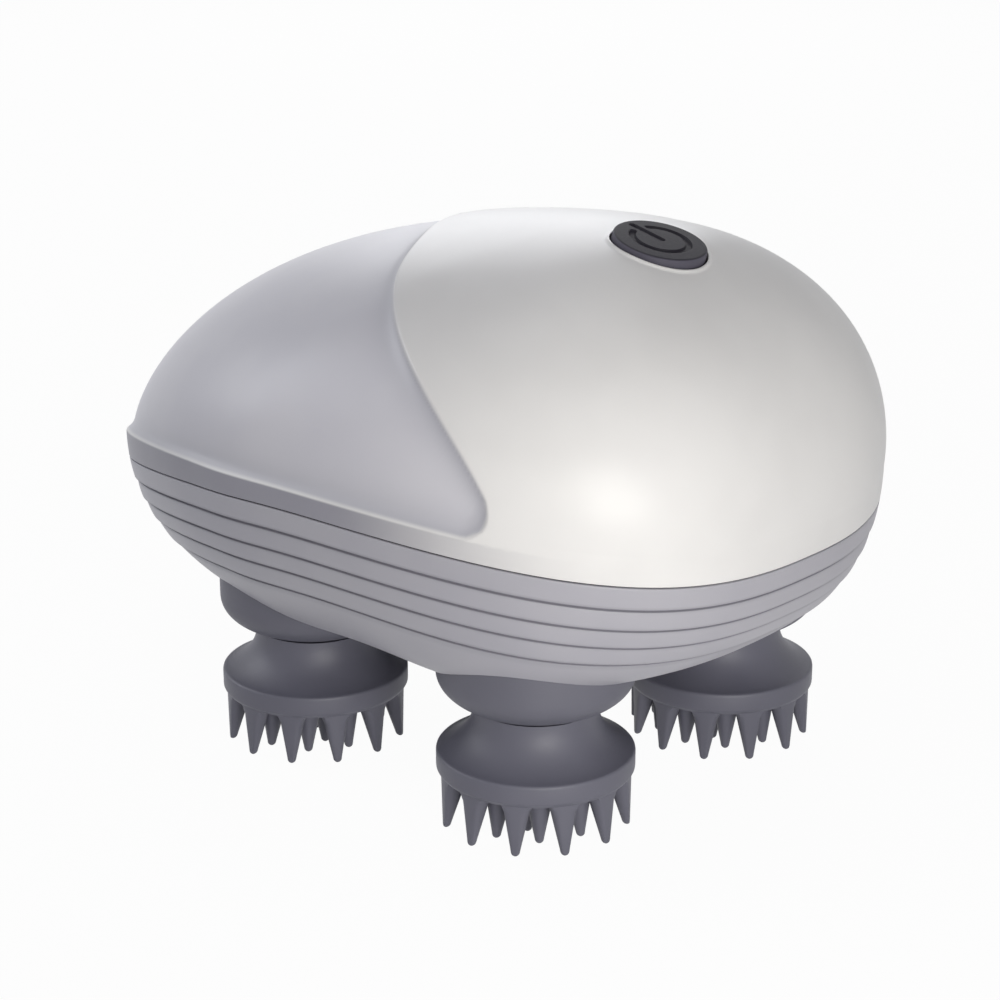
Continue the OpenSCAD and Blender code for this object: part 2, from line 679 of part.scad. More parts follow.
module motor_can() {
    back = motor_face_x - motor_l;
    color([0.72, 0.72, 0.74]) difference() {
        union() {
            flat_can(back, motor_face_x);
            translate([motor_face_x - 0.1, 0, motor_z]) rotate([0, 90, 0]) cylinder(r = hub_r, h = hub_l + 0.1, $fn = 64);
        }
        translate([back - 1, 0, motor_z]) rotate([0, 90, 0]) cylinder(r = motor_d / 2 - 3.2, h = motor_l - 1.5, $fn = 64);
        translate([back - 1, 0, motor_z]) rotate([0, 90, 0])
            cylinder(r = motor_shaft_d / 2 + shaft_clear, h = motor_l + 10, $fn = 48);
        for (s = [-1, 1]) translate([motor_face_x - 1.4, s * 6, motor_z]) rotate([0, 90, 0])
            cylinder(r = small_screw_r + fit, h = 3, $fn = 32);
    }
}

module motor_end_cap() {
    back = motor_face_x - motor_l;
    color([0.15, 0.15, 0.16]) difference() {
        flat_can(back - cap_l, back);
        translate([back - cap_l - 1, 0, motor_z]) rotate([0, 90, 0])
            cylinder(r = motor_shaft_d / 2 + shaft_clear, h = cap_l + 2, $fn = 48);
    }
}

module motor_terminals() {
    back = motor_face_x - motor_l - cap_l;
    color([0.8, 0.68, 0.4]) for (s = [-1, 1])
        translate([back - 2.4, s * 6 - 1, motor_z - 0.2]) cube([2.4, 2, 0.4]);
}

module motor_shaft() {
    back = motor_face_x - motor_l - cap_l;
    color([0.75, 0.75, 0.77]) translate([back - 0.8, 0, motor_z]) rotate([0, 90, 0]) {
        cylinder(r = motor_shaft_d / 2, h = shaft_end_x - back + 0.8, $fn = 48);
        translate([0, 0, 5]) cylinder(r = motor_d / 2 - 4.2, h = motor_l - 6, $fn = 64);
    }
}

module motor_clamp() {
    top = motor_z + motor_flat / 2 + 0.15;
    foot = motor_z - 1;
    inner = motor_d / 2 + 0.2;
    color([0.7, 0.7, 0.72]) difference() {
        union() {
            translate([clamp_x - clamp_w / 2, -inner - clamp_t, foot]) cube([clamp_w, 2 * (inner + clamp_t), top - foot + clamp_t]);
            translate([clamp_x - clamp_w / 2, -clamp_y - 2.6, foot]) cube([clamp_w, 2 * clamp_y + 5.2, clamp_t]);
        }
        translate([clamp_x - clamp_w, -inner, foot - 1]) cube([2 * clamp_w, 2 * inner, top - foot + 1]);
        for (s = [-1, 1]) translate([clamp_x, s * clamp_y, foot - 1]) cylinder(r = small_screw_r + 0.1, h = 4, $fn = 32);
    }
}

module clamp_screws() {
    color([0.7, 0.7, 0.72]) for (s = [-1, 1])
        translate([clamp_x, s * clamp_y, motor_z - 1 + clamp_t]) screw(small_screw_r, 5, 1.5, 1);
}

module motor_screws() {
    color([0.7, 0.7, 0.72]) for (s = [-1, 1])
        translate([motor_face_x + plate_t, s * 6, motor_z]) rotate([0, 90, 0]) screw(small_screw_r, plate_t + 1.2, 1.6, 1);
}

// A single-start right-hand thread, with its crest on the left side at the middle of the worm
module worm() {
    lean = tan(20);
    tip_r = worm_r + addendum - 0.05;
    root_r = worm_r - dedendum;
    tip_turn = 360 / worm_pitch * (thread_t / 2 - (tip_r - worm_r) * lean);
    root_turn = 360 / worm_pitch * (thread_t / 2 + dedendum * lean);
    flank = [for (i = [0 : 4]) [tip_turn + (root_turn - tip_turn) * i / 4, tip_r + (root_r - tip_r) * i / 4]];
    section = concat(
        flank,
        [for (i = [1 : 5]) [root_turn + (360 - 2 * root_turn) * i / 6, root_r]],
        [for (i = [4 : -1 : 0]) [360 - flank[i][0], flank[i][1]]]
    );
    turn = 360 * worm_l / worm_pitch;
    color([0.93, 0.9, 0.8]) translate([heads_x - worm_l / 2, 0, motor_z]) difference() {
        rotate([0, 90, 0]) rotate(90 - turn / 2) linear_extrude(worm_l, twist = -turn, slices = 64)
            polygon([for (p = section) [p[1] * cos(p[0]), p[1] * sin(p[0])]]);
        translate([-1, 0, 0]) rotate([0, 90, 0]) cylinder(r = motor_shaft_d / 2 + fit, h = worm_l + 2, $fn = 48);
    }
}

module worm_bush() {
    color([0.72, 0.55, 0.3]) translate([bush_x, 0, motor_z]) rotate([0, 90, 0]) difference() {
        cylinder(r = bush_r, h = bush_l, $fn = 48);
        translate([0, 0, -1]) cylinder(r = motor_shaft_d / 2 + shaft_clear, h = bush_l + 2, $fn = 48);
    }
}

// Involute spur gear outline, with a tooth centred on +X
function involute(a) = tan(a) * 180 / PI - a;
function flank_angle(r, pitch_r, tooth_w) =
    tooth_w / pitch_r * 90 / PI + involute(20) - involute(acos(pitch_r * cos(20) / r));
module gear_outline(teeth, pitch_r, tooth_w) {
    root_r = pitch_r - dedendum;
    low_r = max(root_r, pitch_r * cos(20)) + 0.15;
    flank = [for (i = [0 : 4])
        let (r = low_r + (pitch_r + addendum - low_r) * i / 4) [r, flank_angle(r, pitch_r, tooth_w)]];
    tooth = concat(
        [[root_r, -flank[0][1] - 1]],
        [for (f = flank) [f[0], -f[1]]],
        [for (i = [4 : -1 : 0]) flank[i]],
        [[root_r, flank[0][1] + 1]]
    );
    polygon([for (k = [0 : teeth - 1]) for (p = tooth)
        let (a = 360 * k / teeth + p[1]) [p[0] * cos(a), p[0] * sin(a)]]);
}

module idler(side) {
    pinion_r = spur_module * pinion_teeth / 2;
    spur_w = PI * spur_module / 2 - backlash / 2;
    wheel_w = worm_pitch - thread_t - 2 * (side_gap + 0.21);
    wheel_z = motor_z - wheel_face / 2;
    translate([heads_x, side * idler_y, 0]) difference() {
        union() {
            translate([0, 0, gear_z]) linear_extrude(gear_face) gear_outline(pinion_teeth, pinion_r, spur_w);
            post(0, 0, idler_hub_r, gear_z - 0.2, bridge_z - 0.3);
            translate([0, 0, wheel_z]) linear_extrude(wheel_face)
                rotate(side > 0 ? 0 : 180 / wheel_teeth) gear_outline(wheel_teeth, wheel_r, wheel_w);
        }
        translate([0, 0, tray_z]) cylinder(r = axle_d / 2 + shaft_clear, h = 40, $fn = 48);
    }
}

module left_idler_gear() color([0.93, 0.9, 0.8]) idler(1);
module right_idler_gear() color([0.93, 0.9, 0.8]) idler(-1);

module idler_axles() {
    color([0.75, 0.75, 0.77]) for (y = [-idler_y, idler_y])
        post(heads_x, y, axle_d / 2, tray_z + 0.1, bridge_top - 0.1);
}

// Massage heads

// Spikes of one ring: count, tip radius and the turn of the first one
module spike_ring(count, ring_r, turn) {
    top_r = ring_r * (1 - 0.085);
    tip_over = 0.6;
    reach = norm([ring_r - top_r, disc_z]);
    tilt = atan2(ring_r - top_r, disc_z);
    grow = (spike_base_d - spike_tip_d) / 2 / reach;
    for (k = [0 : count - 1]) rotate(turn + 360 * k / count) translate([top_r, 0, disc_z]) rotate([0, 180 - tilt, 0])
        translate([0, 0, -0.4])
            cylinder(r1 = spike_base_d / 2 + 0.4 * grow, r2 = spike_tip_d / 2 - tip_over * grow,
                     h = reach + 0.4 + tip_over, $fn = 32);
}

// Side of the head from the rim up to the neck, and back down its axis
function flare_profile() =
    let (rim_r = disc_d / 2 - 0.3)
    concat(
        [[0, disc_z], [disc_d / 2 - 0.9, disc_z], [disc_d / 2 - 0.8, disc_z + 0.3], [disc_d / 2 - 0.3, disc_z + 0.3],
         [disc_d / 2, disc_z + 0.6], [disc_d / 2, rim_z - 0.3], [rim_r, rim_z]],
        [for (i = [1 : 10])
            let (t = i / 10)
            [rim_r - (rim_r - neck_d / 2) * t, rim_z + flare_h * (0.73 * t + 0.27 * pow(t, 6))]],
        [[0, head_top_z]]
    );

hub_flange_r = 8.6;
hub_flange_t = 1.5;
hub_tube_r = 3.9;
hub_z = disc_z + 1.4;

module massage_head(i) {
    turn = [-1.9, -0.5, 6, 29.7][i];
    tip_r = tip_ring_d / 2;
    color([0.42, 0.41, 0.47]) at_head(i) difference() {
        union() {
            rotate_extrude($fn = 96) polygon(flare_profile());
            spike_ring(12, tip_r, turn);
            spike_ring(10, tip_r * 0.76, turn + 27.2);
            spike_ring(6, tip_r * 0.4, turn);
            spike_ring(1, 0, 0);
        }
        translate([0, 0, hub_z]) cylinder(r = hub_flange_r + fit, h = hub_flange_t + fit, $fn = 64);
        translate([0, 0, hub_z]) cylinder(r = hub_tube_r + fit, h = 20, $fn = 64);
        translate([-20, -20, -5]) cube([40, 40, 5]);
    }
}

module head_hub(i) {
    color([0.8, 0.8, 0.78]) at_head(i) difference() {
        union() {
            post(0, 0, hub_flange_r, hub_z, hub_z + hub_flange_t);
            post(0, 0, hub_tube_r, hub_z, head_top_z);
        }
        translate([0, 0, hub_z + 0.8]) cylinder(r = shaft_r + fit, h = 20, $fn = 48);
    }
}

module head_shaft(i) color([0.75, 0.75, 0.77]) at_head(i) post(0, 0, shaft_r, hub_z + 0.9, deck_top + 0.5);

module head_gear(i) {
    color([0.93, 0.9, 0.8]) at_head(i) translate([0, 0, gear_z]) difference() {
        linear_extrude(gear_face) rotate(180 / head_teeth)
            gear_outline(head_teeth, spur_module * head_teeth / 2, PI * spur_module / 2 - backlash / 2);
        translate([0, 0, -1]) cylinder(r = shaft_r + fit, h = gear_face + 2, $fn = 48);
    }
}

// Cups: fixed domes under the housing that hold the shaft's bush and seal

bush_outer_r = 4;
seal_z = cup_z + 0.7;
cup_seal_h = 1.6;
bush_top_z = belly_z + 4.2;

function cup_side(r, drop, z0, z1) = concat(
    [for (i = [0 : 8])
        let (low = cup_round - drop, a = asin(low >= cup_round ? 0 : (cup_round - low) / cup_round) * (1 - i / 8))
        [r * cos(a), z0 - cup_round * sin(a)]],
    [[r, z1]]
);

module head_cup(i) {
    r = cup_d / 2;
    inner_r = r - cup_wall;
    color([0.38, 0.37, 0.43]) at_head(i) difference() {
        union() {
            difference() {
                rotate_extrude($fn = 96) polygon(concat([[0, cup_z]], cup_side(r, cup_drop, belly_z, tray_z), [[0, tray_z]]));
                translate([0, 0, belly_z - 1.4]) cylinder(r = inner_r, h = 30, $fn = 96);
                translate([0, 0, cup_z + 2.6]) cylinder(r1 = 7.6, r2 = inner_r, h = belly_z - cup_z - 4, $fn = 96);
            }
            post(0, 0, bush_outer_r + 1.6, cup_z + 0.5, bush_top_z);
            for (s = [-1, 1]) translate([s * cup_screw_dx, 0, 0]) post(0, 0, 2.1, belly_z - 2.5, tray_z);
        }
        translate([0, 0, cup_z - 1]) cylinder(r = shaft_r + 0.5, h = 30, $fn = 48);
        translate([0, 0, seal_z]) cylinder(r = bush_outer_r + fit, h = 30, $fn = 64);
        for (s = [-1, 1]) translate([s * cup_screw_dx, 0, tray_z - 5]) cylinder(r = small_screw_r + fit, h = 8, $fn = 32);
    }
}

module ring_at(i, z, h, clear) at_head(i) translate([0, 0, z]) difference() {
    cylinder(r = bush_outer_r, h = h, $fn = 64);
    translate([0, 0, -1]) cylinder(r = shaft_r + clear, h = h + 2, $fn = 48);
}

module shaft_seals() color([0.1, 0.1, 0.1]) for (i = [0 : 3]) ring_at(i, seal_z, cup_seal_h, 0.03);
module shaft_bushes() color([0.72, 0.55, 0.3]) for (i = [0 : 3])
    ring_at(i, seal_z + cup_seal_h, bush_top_z - seal_z - cup_seal_h, shaft_clear);

module cup_screws() {
    color([0.7, 0.7, 0.72]) at_heads() for (s = [-1, 1])
        translate([s * cup_screw_dx, 0, tray_z + tray_t - 0.9]) cup_screw();
}

// A cup screw's head is sunk into the tray, under the gears
module cup_screw() {
    translate([0, 0, -5]) cylinder(r = small_screw_r, h = 5.9, $fn = 32);
}

// Charge port

module slot(w, h, x0, x1) {
    translate([x0, -(w - h) / 2, -h / 2]) cube([x1 - x0, w - h, h]);
    for (s = [-1, 1]) translate([x0, s * (w - h) / 2, 0]) rotate([0, 90, 0]) cylinder(r = h / 2, h = x1 - x0, $fn = 48);
}

module port_frame() translate([port_x, 0, port_z]) rotate([0, port_tilt, 0]) children();

module charge_socket() {
    color([0.75, 0.75, 0.77]) port_frame() difference() {
        slot(socket_w, socket_h, socket_start, socket_start + socket_l);
        slot(socket_w - 2 * socket_wall, socket_h - 2 * socket_wall, socket_start - 1, socket_start + socket_l - 1);
    }
}

module socket_tongue() {
    color([0.1, 0.1, 0.1]) port_frame() translate([socket_start + 3.2, -3.3, -0.35]) cube([socket_l - 4.2, 6.6, 0.7]);
}

module charge_board() {
    color([0.05, 0.3, 0.16]) port_frame() difference() {
        translate([charge_board_x[0], -8.4, -socket_h / 2 - 1.2])
            cube([charge_board_x[1] - charge_board_x[0], 16.8, 1.2]);
        for (s = [-1, 1]) translate([charge_screw[0], s * charge_screw[1], -socket_h / 2 - 2])
            cylinder(r = small_screw_r + 0.1, h = 4, $fn = 32);
    }
}

module charge_board_screws() {
    color([0.7, 0.7, 0.72]) port_frame() for (s = [-1, 1])
        translate([charge_screw[0], s * charge_screw[1], -socket_h / 2 - 1.2]) rotate([180, 0, 0])
            screw(small_screw_r, 3.8, 1.5, 1);
}

module port_plug() {
    color([0.86, 0.85, 0.86]) {
        one_mesh() intersection() {
            dome_solid(relief_depth, -seam_level);
            port_frame() slot(plug_w, plug_h, -4, relief_depth + plug_t);
        }
        port_frame() slot(plug_w * 0.5, 1, relief_depth - 0.6, relief_depth + 1);
        port_frame() slot(socket_w - 2 * socket_wall - 0.6, socket_h - 2 * socket_wall - 0.6,
                          relief_depth + plug_t - 0.2, relief_depth + plug_reach);
    }
}

module housing_screws() {
    color([0.7, 0.7, 0.72]) for (x = pillar_xs)
        translate([x, 0, screw_seat_z]) rotate([180, 0, 0]) screw(cover_screw_r, pillar_z - screw_seat_z + 6, 2.4, 1.6);
}

top_cover();
lower_housing();
seam_gasket();
power_button();
button_seal();
switch_body();
switch_plunger();
main_board();
board_screws();
battery_cell();
cell_contacts();
battery_holder();
gear_tray();
gear_deck();
gear_bridge();
gearbox_screws();
bridge_screws();
motor_can();
motor_end_cap();
motor_terminals();
motor_shaft();
motor_clamp();
clamp_screws();
motor_screws();
worm();
worm_bush();
left_idler_gear();
right_idler_gear();
idler_axles();
for (i = [0 : 3]) {
    massage_head(i);
    head_hub(i);
    head_shaft(i);
    head_gear(i);
    head_cup(i);
}
shaft_seals();
shaft_bushes();
cup_screws();
charge_board();
charge_socket();
socket_tongue();
port_plug();
charge_board_screws();
housing_screws();
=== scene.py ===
import json
import math

import bmesh
import bpy
import numpy as np
from mathutils import Matrix, Vector
from mathutils.bvhtree import BVHTree
from mathutils.kdtree import KDTree


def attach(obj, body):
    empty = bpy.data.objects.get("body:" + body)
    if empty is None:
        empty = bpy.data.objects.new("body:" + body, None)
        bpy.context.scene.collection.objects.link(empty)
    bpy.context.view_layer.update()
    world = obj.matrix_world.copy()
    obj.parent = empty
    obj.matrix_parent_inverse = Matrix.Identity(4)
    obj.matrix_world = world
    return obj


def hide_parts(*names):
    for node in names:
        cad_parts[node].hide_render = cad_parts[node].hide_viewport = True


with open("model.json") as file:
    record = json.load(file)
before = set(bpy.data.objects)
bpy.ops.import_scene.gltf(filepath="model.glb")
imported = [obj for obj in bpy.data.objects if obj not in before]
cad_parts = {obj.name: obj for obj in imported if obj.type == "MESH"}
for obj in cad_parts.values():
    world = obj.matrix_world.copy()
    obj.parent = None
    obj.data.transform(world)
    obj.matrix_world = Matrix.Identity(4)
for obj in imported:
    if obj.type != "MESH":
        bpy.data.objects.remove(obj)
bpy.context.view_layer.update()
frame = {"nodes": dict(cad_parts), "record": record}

# Sizes are in millimetres, as a moulder's drawing has them. MM turns them into metres.
MM = 0.001
# Points that are closer than this, in metres, are one
WELD = 2e-6

# The body's outline, seen from above and from the side
BODY_L, BODY_W, NOSE_L = 118.0, 87.2, 55.3
BODY_X = BODY_L / 2 - NOSE_L
WIDEST_Z, DOME_H, HULL_H, FLOOR_Z, FLOOR_BLEND = 46.9, 28.3, 34.8, 19.7, 3.7
WALL = 2.2
COLUMNS = 480

# How square the outline is from above, and over which share of the length tail and nose blend
NOSE_SQUARE, TAIL_SQUARE, SQUARE_BLEND = 2.53, 1.77, 0.35

# How full the curves are: one power for the dome, and two for the hull, where it starts and ends
DOME_NOSE, DOME_TAIL, DOME_SIDE = 1.65, 1.85, 2.07
HULL_NOSE, HULL_TAIL, HULL_SIDE = (2.27, 2.27), (2.1, 1.88), (2.02, 2.52)

# The dome's top leans to the nose, the hull to the tail, and the hull bulges beside the nose
DOME_LEAN, DOME_LEAN_POWER, HULL_LEAN, HULL_LEAN_START, HULL_BULGE = 18.3, 1.32, -0.66, 0.08, 0.25

# The seam follows the body's widest line, SEAM_DROP below it. SEAM is its level down the hull.
SEAM_TILT, SEAM_BOW, SEAM_DROP, SEAM_T, SEAM_ROUND = 0.061, 0.0026, 4.0, 0.2, 0.15
SEAM, SEAM_HALF = SEAM_DROP / HULL_H, SEAM_T / 2 / HULL_H
# Inset of the points in the middle of both rims
RIM_MIDDLE = 1.2

# The lowered panel on the cover: its depth, its corner, the round of its edge and its wall's width
PANEL_DEPTH, PANEL_CORNER, PANEL_ROUND, PANEL_WALL, PANEL_WALL_BY_CAP = 1.0, 3.7, 0.16, 2.5, 0.3
# The raised cap's edge runs round a slanted axis, CAP_SIDE from it at the sides and further behind it
PANEL_FRONT = (38.5, 50.1)
PANEL_BACKWARDS = (-0.8796, 0.4758)
CAP_SIDE, CAP_TOP, CAP_TIP, CAP_TIP_POWER = 37.6, 5.25, 2.85, 35
# The panel's lower lip is LIP_RISE over the widest line at the tail, and sinks towards the front
LIP_RISE, LIP_SINK, LIP_SINK_START, LIP_SINK_LENGTH = 0.15, 1.2, -45, 60

# How much the cover's points are drawn to the panel's edge, and from how far away
DRAW, DRAW_REACH = 0.44, 2.4

# Where the cover's colours change, all of it painted shade: cooler and darker into the panel, darker still
# near its wall, and grey on the band over the seam
PANEL_SHADE_START, PANEL_SHADE_LENGTH = 0.05, 0.5
SHADE_REACH, SHADE_POWER = 3.0, 1.3
BAND_SHADE_BLEND, BAND_SHADE_FADE_START, BAND_SHADE_FADE_LENGTH = 0.3, 14, 36

# Grooves and bands on the housing, measured down from the seam
GROOVES = (3.4, 6.6, 9.6, 12.9)
GROOVE_DEPTH, GROOVE_HALF, GROOVE_LEAD, BAND_STEP = 0.55, 0.2, 0.12, 0.28
# A groove from its upper edge down: how far down, and how deep
GROOVE_SHAPE = (
    (0.04, 0.03), (0.09, 0.14), (0.14, GROOVE_DEPTH * 0.85), (0.22, GROOVE_DEPTH),
    (0.44, GROOVE_DEPTH), (0.52, GROOVE_DEPTH * 0.85), (0.58, BAND_STEP + 0.06), (0.68, BAND_STEP),
)

# Heads and cups, and for each head its end, its side and how far it is turned
HEADS_X, PITCH_X, PITCH_Y = 9.9, 41.8, 39.7
DISC_R, DISC_Z, RIM_Z, NECK_R, CUP_GAP = 13.1, 7.0, 10.15, 8.2, 0.2
CUP_R, CUP_Z, BELLY_Z, TRAY_Z, BELLY_POWER, CUP_PLAY = 13.1, 15.6, 21.4, 29.1, 0.87, 0.1
HEADS = {
    "front_left": (1, 1, -1.9),
    "front_right": (1, -1, -0.5),
    "rear_left": (-1, 1, 6.0),
    "rear_right": (-1, -1, 29.7),
}

# Spikes: the round of the tip, the lean of a ring's spikes, and how far their roots keep from the edge
SPIKE_TIP_R, SPIKE_LEAN, SPIKE_INSET = 0.6, 0.085, 0.45

# Button and charge port: where their middles are, and how far they lean
BUTTON_AT, BUTTON_TILT, BUTTON_R, BUTTON_PROUD = (33.9, 0.0, 74.109), 14.5374, 6.2, 0.8
PORT_AT, PORT_TILT = (-57.035, 0.0, 40.1), 26.243
PLUG_W, PLUG_H, PLUG_GAP, BUTTON_GAP = 13.0, 7.0, 0.3, 0.3

# The power symbol: its radius, half of its ring's gap in degrees, and its bar's ends.
# SYMBOL_SIDE is how far its stroke reaches to each side, and SYMBOL_SOFT the width of the slope there.
SYMBOL_R, SYMBOL_GAP, SYMBOL_BAR = 3.7, 24, (-4.8, 0.2)
SYMBOL_SIDE, SYMBOL_SOFT, SYMBOL_DEPTH = 0.5, 0.16, 0.32
KEY_CROWN = 0.12

# Screw holes in the housing, under the cover's pillars
PILLAR_XS = (-40.0, 43.0)
HOLE_R, HOLE_TOP = 2.7, 25.6


# The body's skin

def smooth(t):
    """Goes from 0 to 1 with t, and is level at both ends."""
    t = np.clip(t, 0, 1)
    return t * t * (3 - 2 * t)


def dome_fall(up, power):
    """The share of its widest reach that the dome keeps at a height. Its very top is round."""
    power = power + (2 - power) * up ** 16
    return np.maximum(0, 1 - np.abs(up) ** power) ** (1 / power)


def hull_fall(down, start, end):
    """The share of its widest reach that the hull keeps at a depth."""
    return np.maximum(0, 1 - np.abs(down) ** start) ** (1 / end)


def share_left(level, dome_power, hull_powers):
    """The share of its widest reach that one way out from the middle keeps at a level."""
    up, down = np.clip(level, 0, 1), np.clip(-level, 0, 1)
    return np.where(level >= 0, dome_fall(up, dome_power), hull_fall(down, *hull_powers))


def crown(x):
    """How far the body's widest line rises or falls along its length."""
    return SEAM_TILT * x - SEAM_BOW * x * x


def rest_on_floor(z, floor):
    """Keeps the hull above its flat bottom, with a soft blend."""
    return (z + floor + np.sqrt((z - floor) ** 2 + FLOOR_BLEND ** 2)) / 2


def skin(angle, level, inset):
    """Points of the body's skin. Levels over 0 climb the dome to 1, levels under 0 go down the hull."""
    angle, level, inset = np.broadcast_arrays(angle, level, inset)
    c, s = np.cos(angle), np.sin(angle)
    up, down = np.clip(level, 0, 1), np.clip(-level, 0, 1)
    nose = (NOSE_L - inset) * share_left(level, DOME_NOSE, HULL_NOSE)
    tail = (BODY_L - NOSE_L - inset) * share_left(level, DOME_TAIL, HULL_TAIL)
    side = (BODY_W / 2 - inset) * share_left(level, DOME_SIDE, HULL_SIDE)
    square = TAIL_SQUARE + (NOSE_SQUARE - TAIL_SQUARE) * smooth((c / SQUARE_BLEND + 1) / 2)
    along = np.maximum(np.where(c >= 0, nose, tail), 1e-6)
    across = np.maximum(side, 1e-6)
    reach = ((np.abs(c) / along) ** square + (np.abs(s) / across) ** square) ** (-1 / square)
    reach = reach * (1 + HULL_BULGE * np.where(c > 0, (2 * s * c) ** 4, 0) * down ** 3)
    x = BODY_X + DOME_LEAN * up ** DOME_LEAN_POWER
    x = x + HULL_LEAN * down * down / (down + HULL_LEAN_START) + reach * c
    z = WIDEST_Z + crown(x) * (1 - up) + (DOME_H - inset) * up - HULL_H * down
    return np.stack([x, reach * s, rest_on_floor(z, FLOOR_Z + inset)], -1)


def on_skin(angle, level, inset):
    """Points of the skin, their two tangents and the direction outwards."""
    step = 1e-4
    along = (skin(angle + step, level, inset) - skin(angle - step, level, inset)) / (2 * step)
    upward = (skin(angle, level + step, inset) - skin(angle, level - step, inset)) / (2 * step)
    normal = np.cross(along, upward)
    normal = normal / np.maximum(np.linalg.norm(normal, axis=-1, keepdims=True), 1e-12)
    return skin(angle, level, inset), along, upward, normal


# The cover's lowered panel

def cap_edge(spot):
    """How far a point is outside the raised cap's edge, across that edge's slanted cylinder."""
    x, y, z = spot[..., 0] - PANEL_FRONT[0], np.abs(spot[..., 1]), spot[..., 2] - PANEL_FRONT[1]
    back = x * PANEL_BACKWARDS[0] + z * PANEL_BACKWARDS[1]
    reach = np.hypot(np.maximum(back, 0), y)
    share = np.maximum(back, 0) / np.maximum(reach, 1e-9)
    return reach - (CAP_SIDE + CAP_TOP * share + CAP_TIP * share ** CAP_TIP_POWER)


def rim_edge(spot):
    """How far a point is above the panel's lower lip, which sinks a little towards the front."""
    sink = LIP_SINK * smooth((spot[..., 0] - LIP_SINK_START) / LIP_SINK_LENGTH)
    return spot[..., 2] - WIDEST_Z - crown(spot[..., 0]) - LIP_RISE + sink


def edge_distance(field, spot, normal):
    """A field's distance along the skin, and the direction in which it grows."""
    step, least_slope = 1e-3, 0.15
    slope = np.stack([(field(spot + step * way) - field(spot - step * way)) / (2 * step)
                      for way in np.eye(3)], -1)
    slope = slope - normal * np.sum(slope * normal, -1, keepdims=True)
    size = np.maximum(np.linalg.norm(slope, axis=-1, keepdims=True), least_slope)
    return field(spot) / size[..., 0], slope / size


def panel_field(spot, normal):
    """Distance into the lowered panel, its direction, and how much nearer the cap's edge is."""
    least_wedge, blend = 0.05, 6
    cap, cap_way = edge_distance(cap_edge, spot, normal)
    rim, rim_way = edge_distance(rim_edge, spot, normal)
    a, b = PANEL_CORNER - cap, PANEL_CORNER - rim
    lean = np.sum(cap_way * rim_way, -1)
    wedge = np.maximum(1 - lean * lean, least_wedge)
    in_corner = (a > lean * b) & (b > lean * a)
    round_corner = np.sqrt(np.maximum(a * a + b * b - 2 * a * b * lean, 1e-12) / wedge)
    distance = np.where(in_corner, PANEL_CORNER - round_corner, np.minimum(cap, rim))
    towards = cap_way * (a - lean * b)[..., None] + rim_way * (b - lean * a)[..., None]
    towards = towards / (wedge * round_corner)[..., None]
    way = np.where(in_corner[..., None], towards, np.where((cap < rim)[..., None], cap_way, rim_way))
    return distance, way, smooth((rim - cap) / blend + 0.5)


def panel_drop(distance, by_cap):
    """Depth of the panel at a distance from its edge: a small round, then a wall that levels out."""
    in_round = np.maximum(distance + PANEL_ROUND, 0) ** 2 / (4 * PANEL_ROUND)
    inside = np.where(distance > PANEL_ROUND, distance, in_round)
    width = PANEL_WALL + PANEL_WALL_BY_CAP * by_cap
    return PANEL_DEPTH * (1 - (1 - np.clip(inside / width, 0, 1)) ** 3)


def draw_to_edge(angle, level, inset):
    """Slides points along the skin towards the panel's edge, so that its wall has enough of them."""
    for _ in range(3):
        at, along, upward, normal = on_skin(angle, level, inset)
        distance, way, _ = panel_field(at, normal)
        wanted = way * (-DRAW * distance * np.exp(-(distance / DRAW_REACH) ** 2))[:, None]
        aa, bb = np.sum(along * along, -1), np.sum(upward * upward, -1)
        ab = np.sum(along * upward, -1)
        pa, pb = np.sum(wanted * along, -1), np.sum(wanted * upward, -1)
        det = np.maximum(aa * bb - ab * ab, 1e-9)
        angle = angle + (pa * bb - pb * ab) / det
        level = level + (pb * aa - pa * ab) / det
    return angle, level


# Making pieces

PIECES = []


def show(name, builder):
    """Makes a bmesh an object of the scene."""
    mesh = bpy.data.meshes.new(name)
    builder.to_mesh(mesh)
    builder.free()
    shape = bpy.data.objects.new(name, mesh)
    bpy.context.scene.collection.objects.link(shape)
    return shape


def shade_soft(shape, sharp):
    """Shades a piece smooth, except at edges that turn by more than this many degrees."""
    shape.data.shade_smooth()
    shape.data.set_sharp_from_angle(angle=math.radians(sharp))


def finish_piece(builder, name, body, slot, stands_for, sharp=32.0):
    """Makes the object of a bmesh, shades it and hands it to the frame."""
    shape = show(name, builder)
    shade_soft(shape, sharp)
    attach(shape, body)
    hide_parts(stands_for)
    PIECES.append((shape, slot))
    return shape


def seal(builder):
    """Closes seams and poles, and turns all faces outwards."""
    bmesh.ops.remove_doubles(builder, verts=builder.verts[:], dist=WELD)
    bmesh.ops.recalc_face_normals(builder, faces=builder.faces[:])


def wrap(columns, rows, place):
    """A grid of faces wrapped into a skin. place gives the points of columns and rows."""
    wrapped = bmesh.new()
    bmesh.ops.create_grid(wrapped, x_segments=columns, y_segments=rows, size=0.5)
    flat = np.array([v.co[:2] for v in wrapped.verts])
    column = np.rint((flat[:, 0] + 0.5) * columns).astype(int)
    row = np.rint((flat[:, 1] + 0.5) * rows).astype(int)
    spots = place(column, row) * MM
    for vertex, spot in zip(wrapped.verts, spots.tolist()):
        vertex.co = spot
    return wrapped


def wrap_body(rows, place=None):
    """A closed shell round the body. Each row is a level and an inset of the body's skin."""
    def on_rows(column, row):
        return skin(2 * math.pi * column / COLUMNS, rows[row, 0], rows[row, 1])

    shell = wrap(COLUMNS, len(rows) - 1, place or on_rows)
    seal(shell)
    return shell


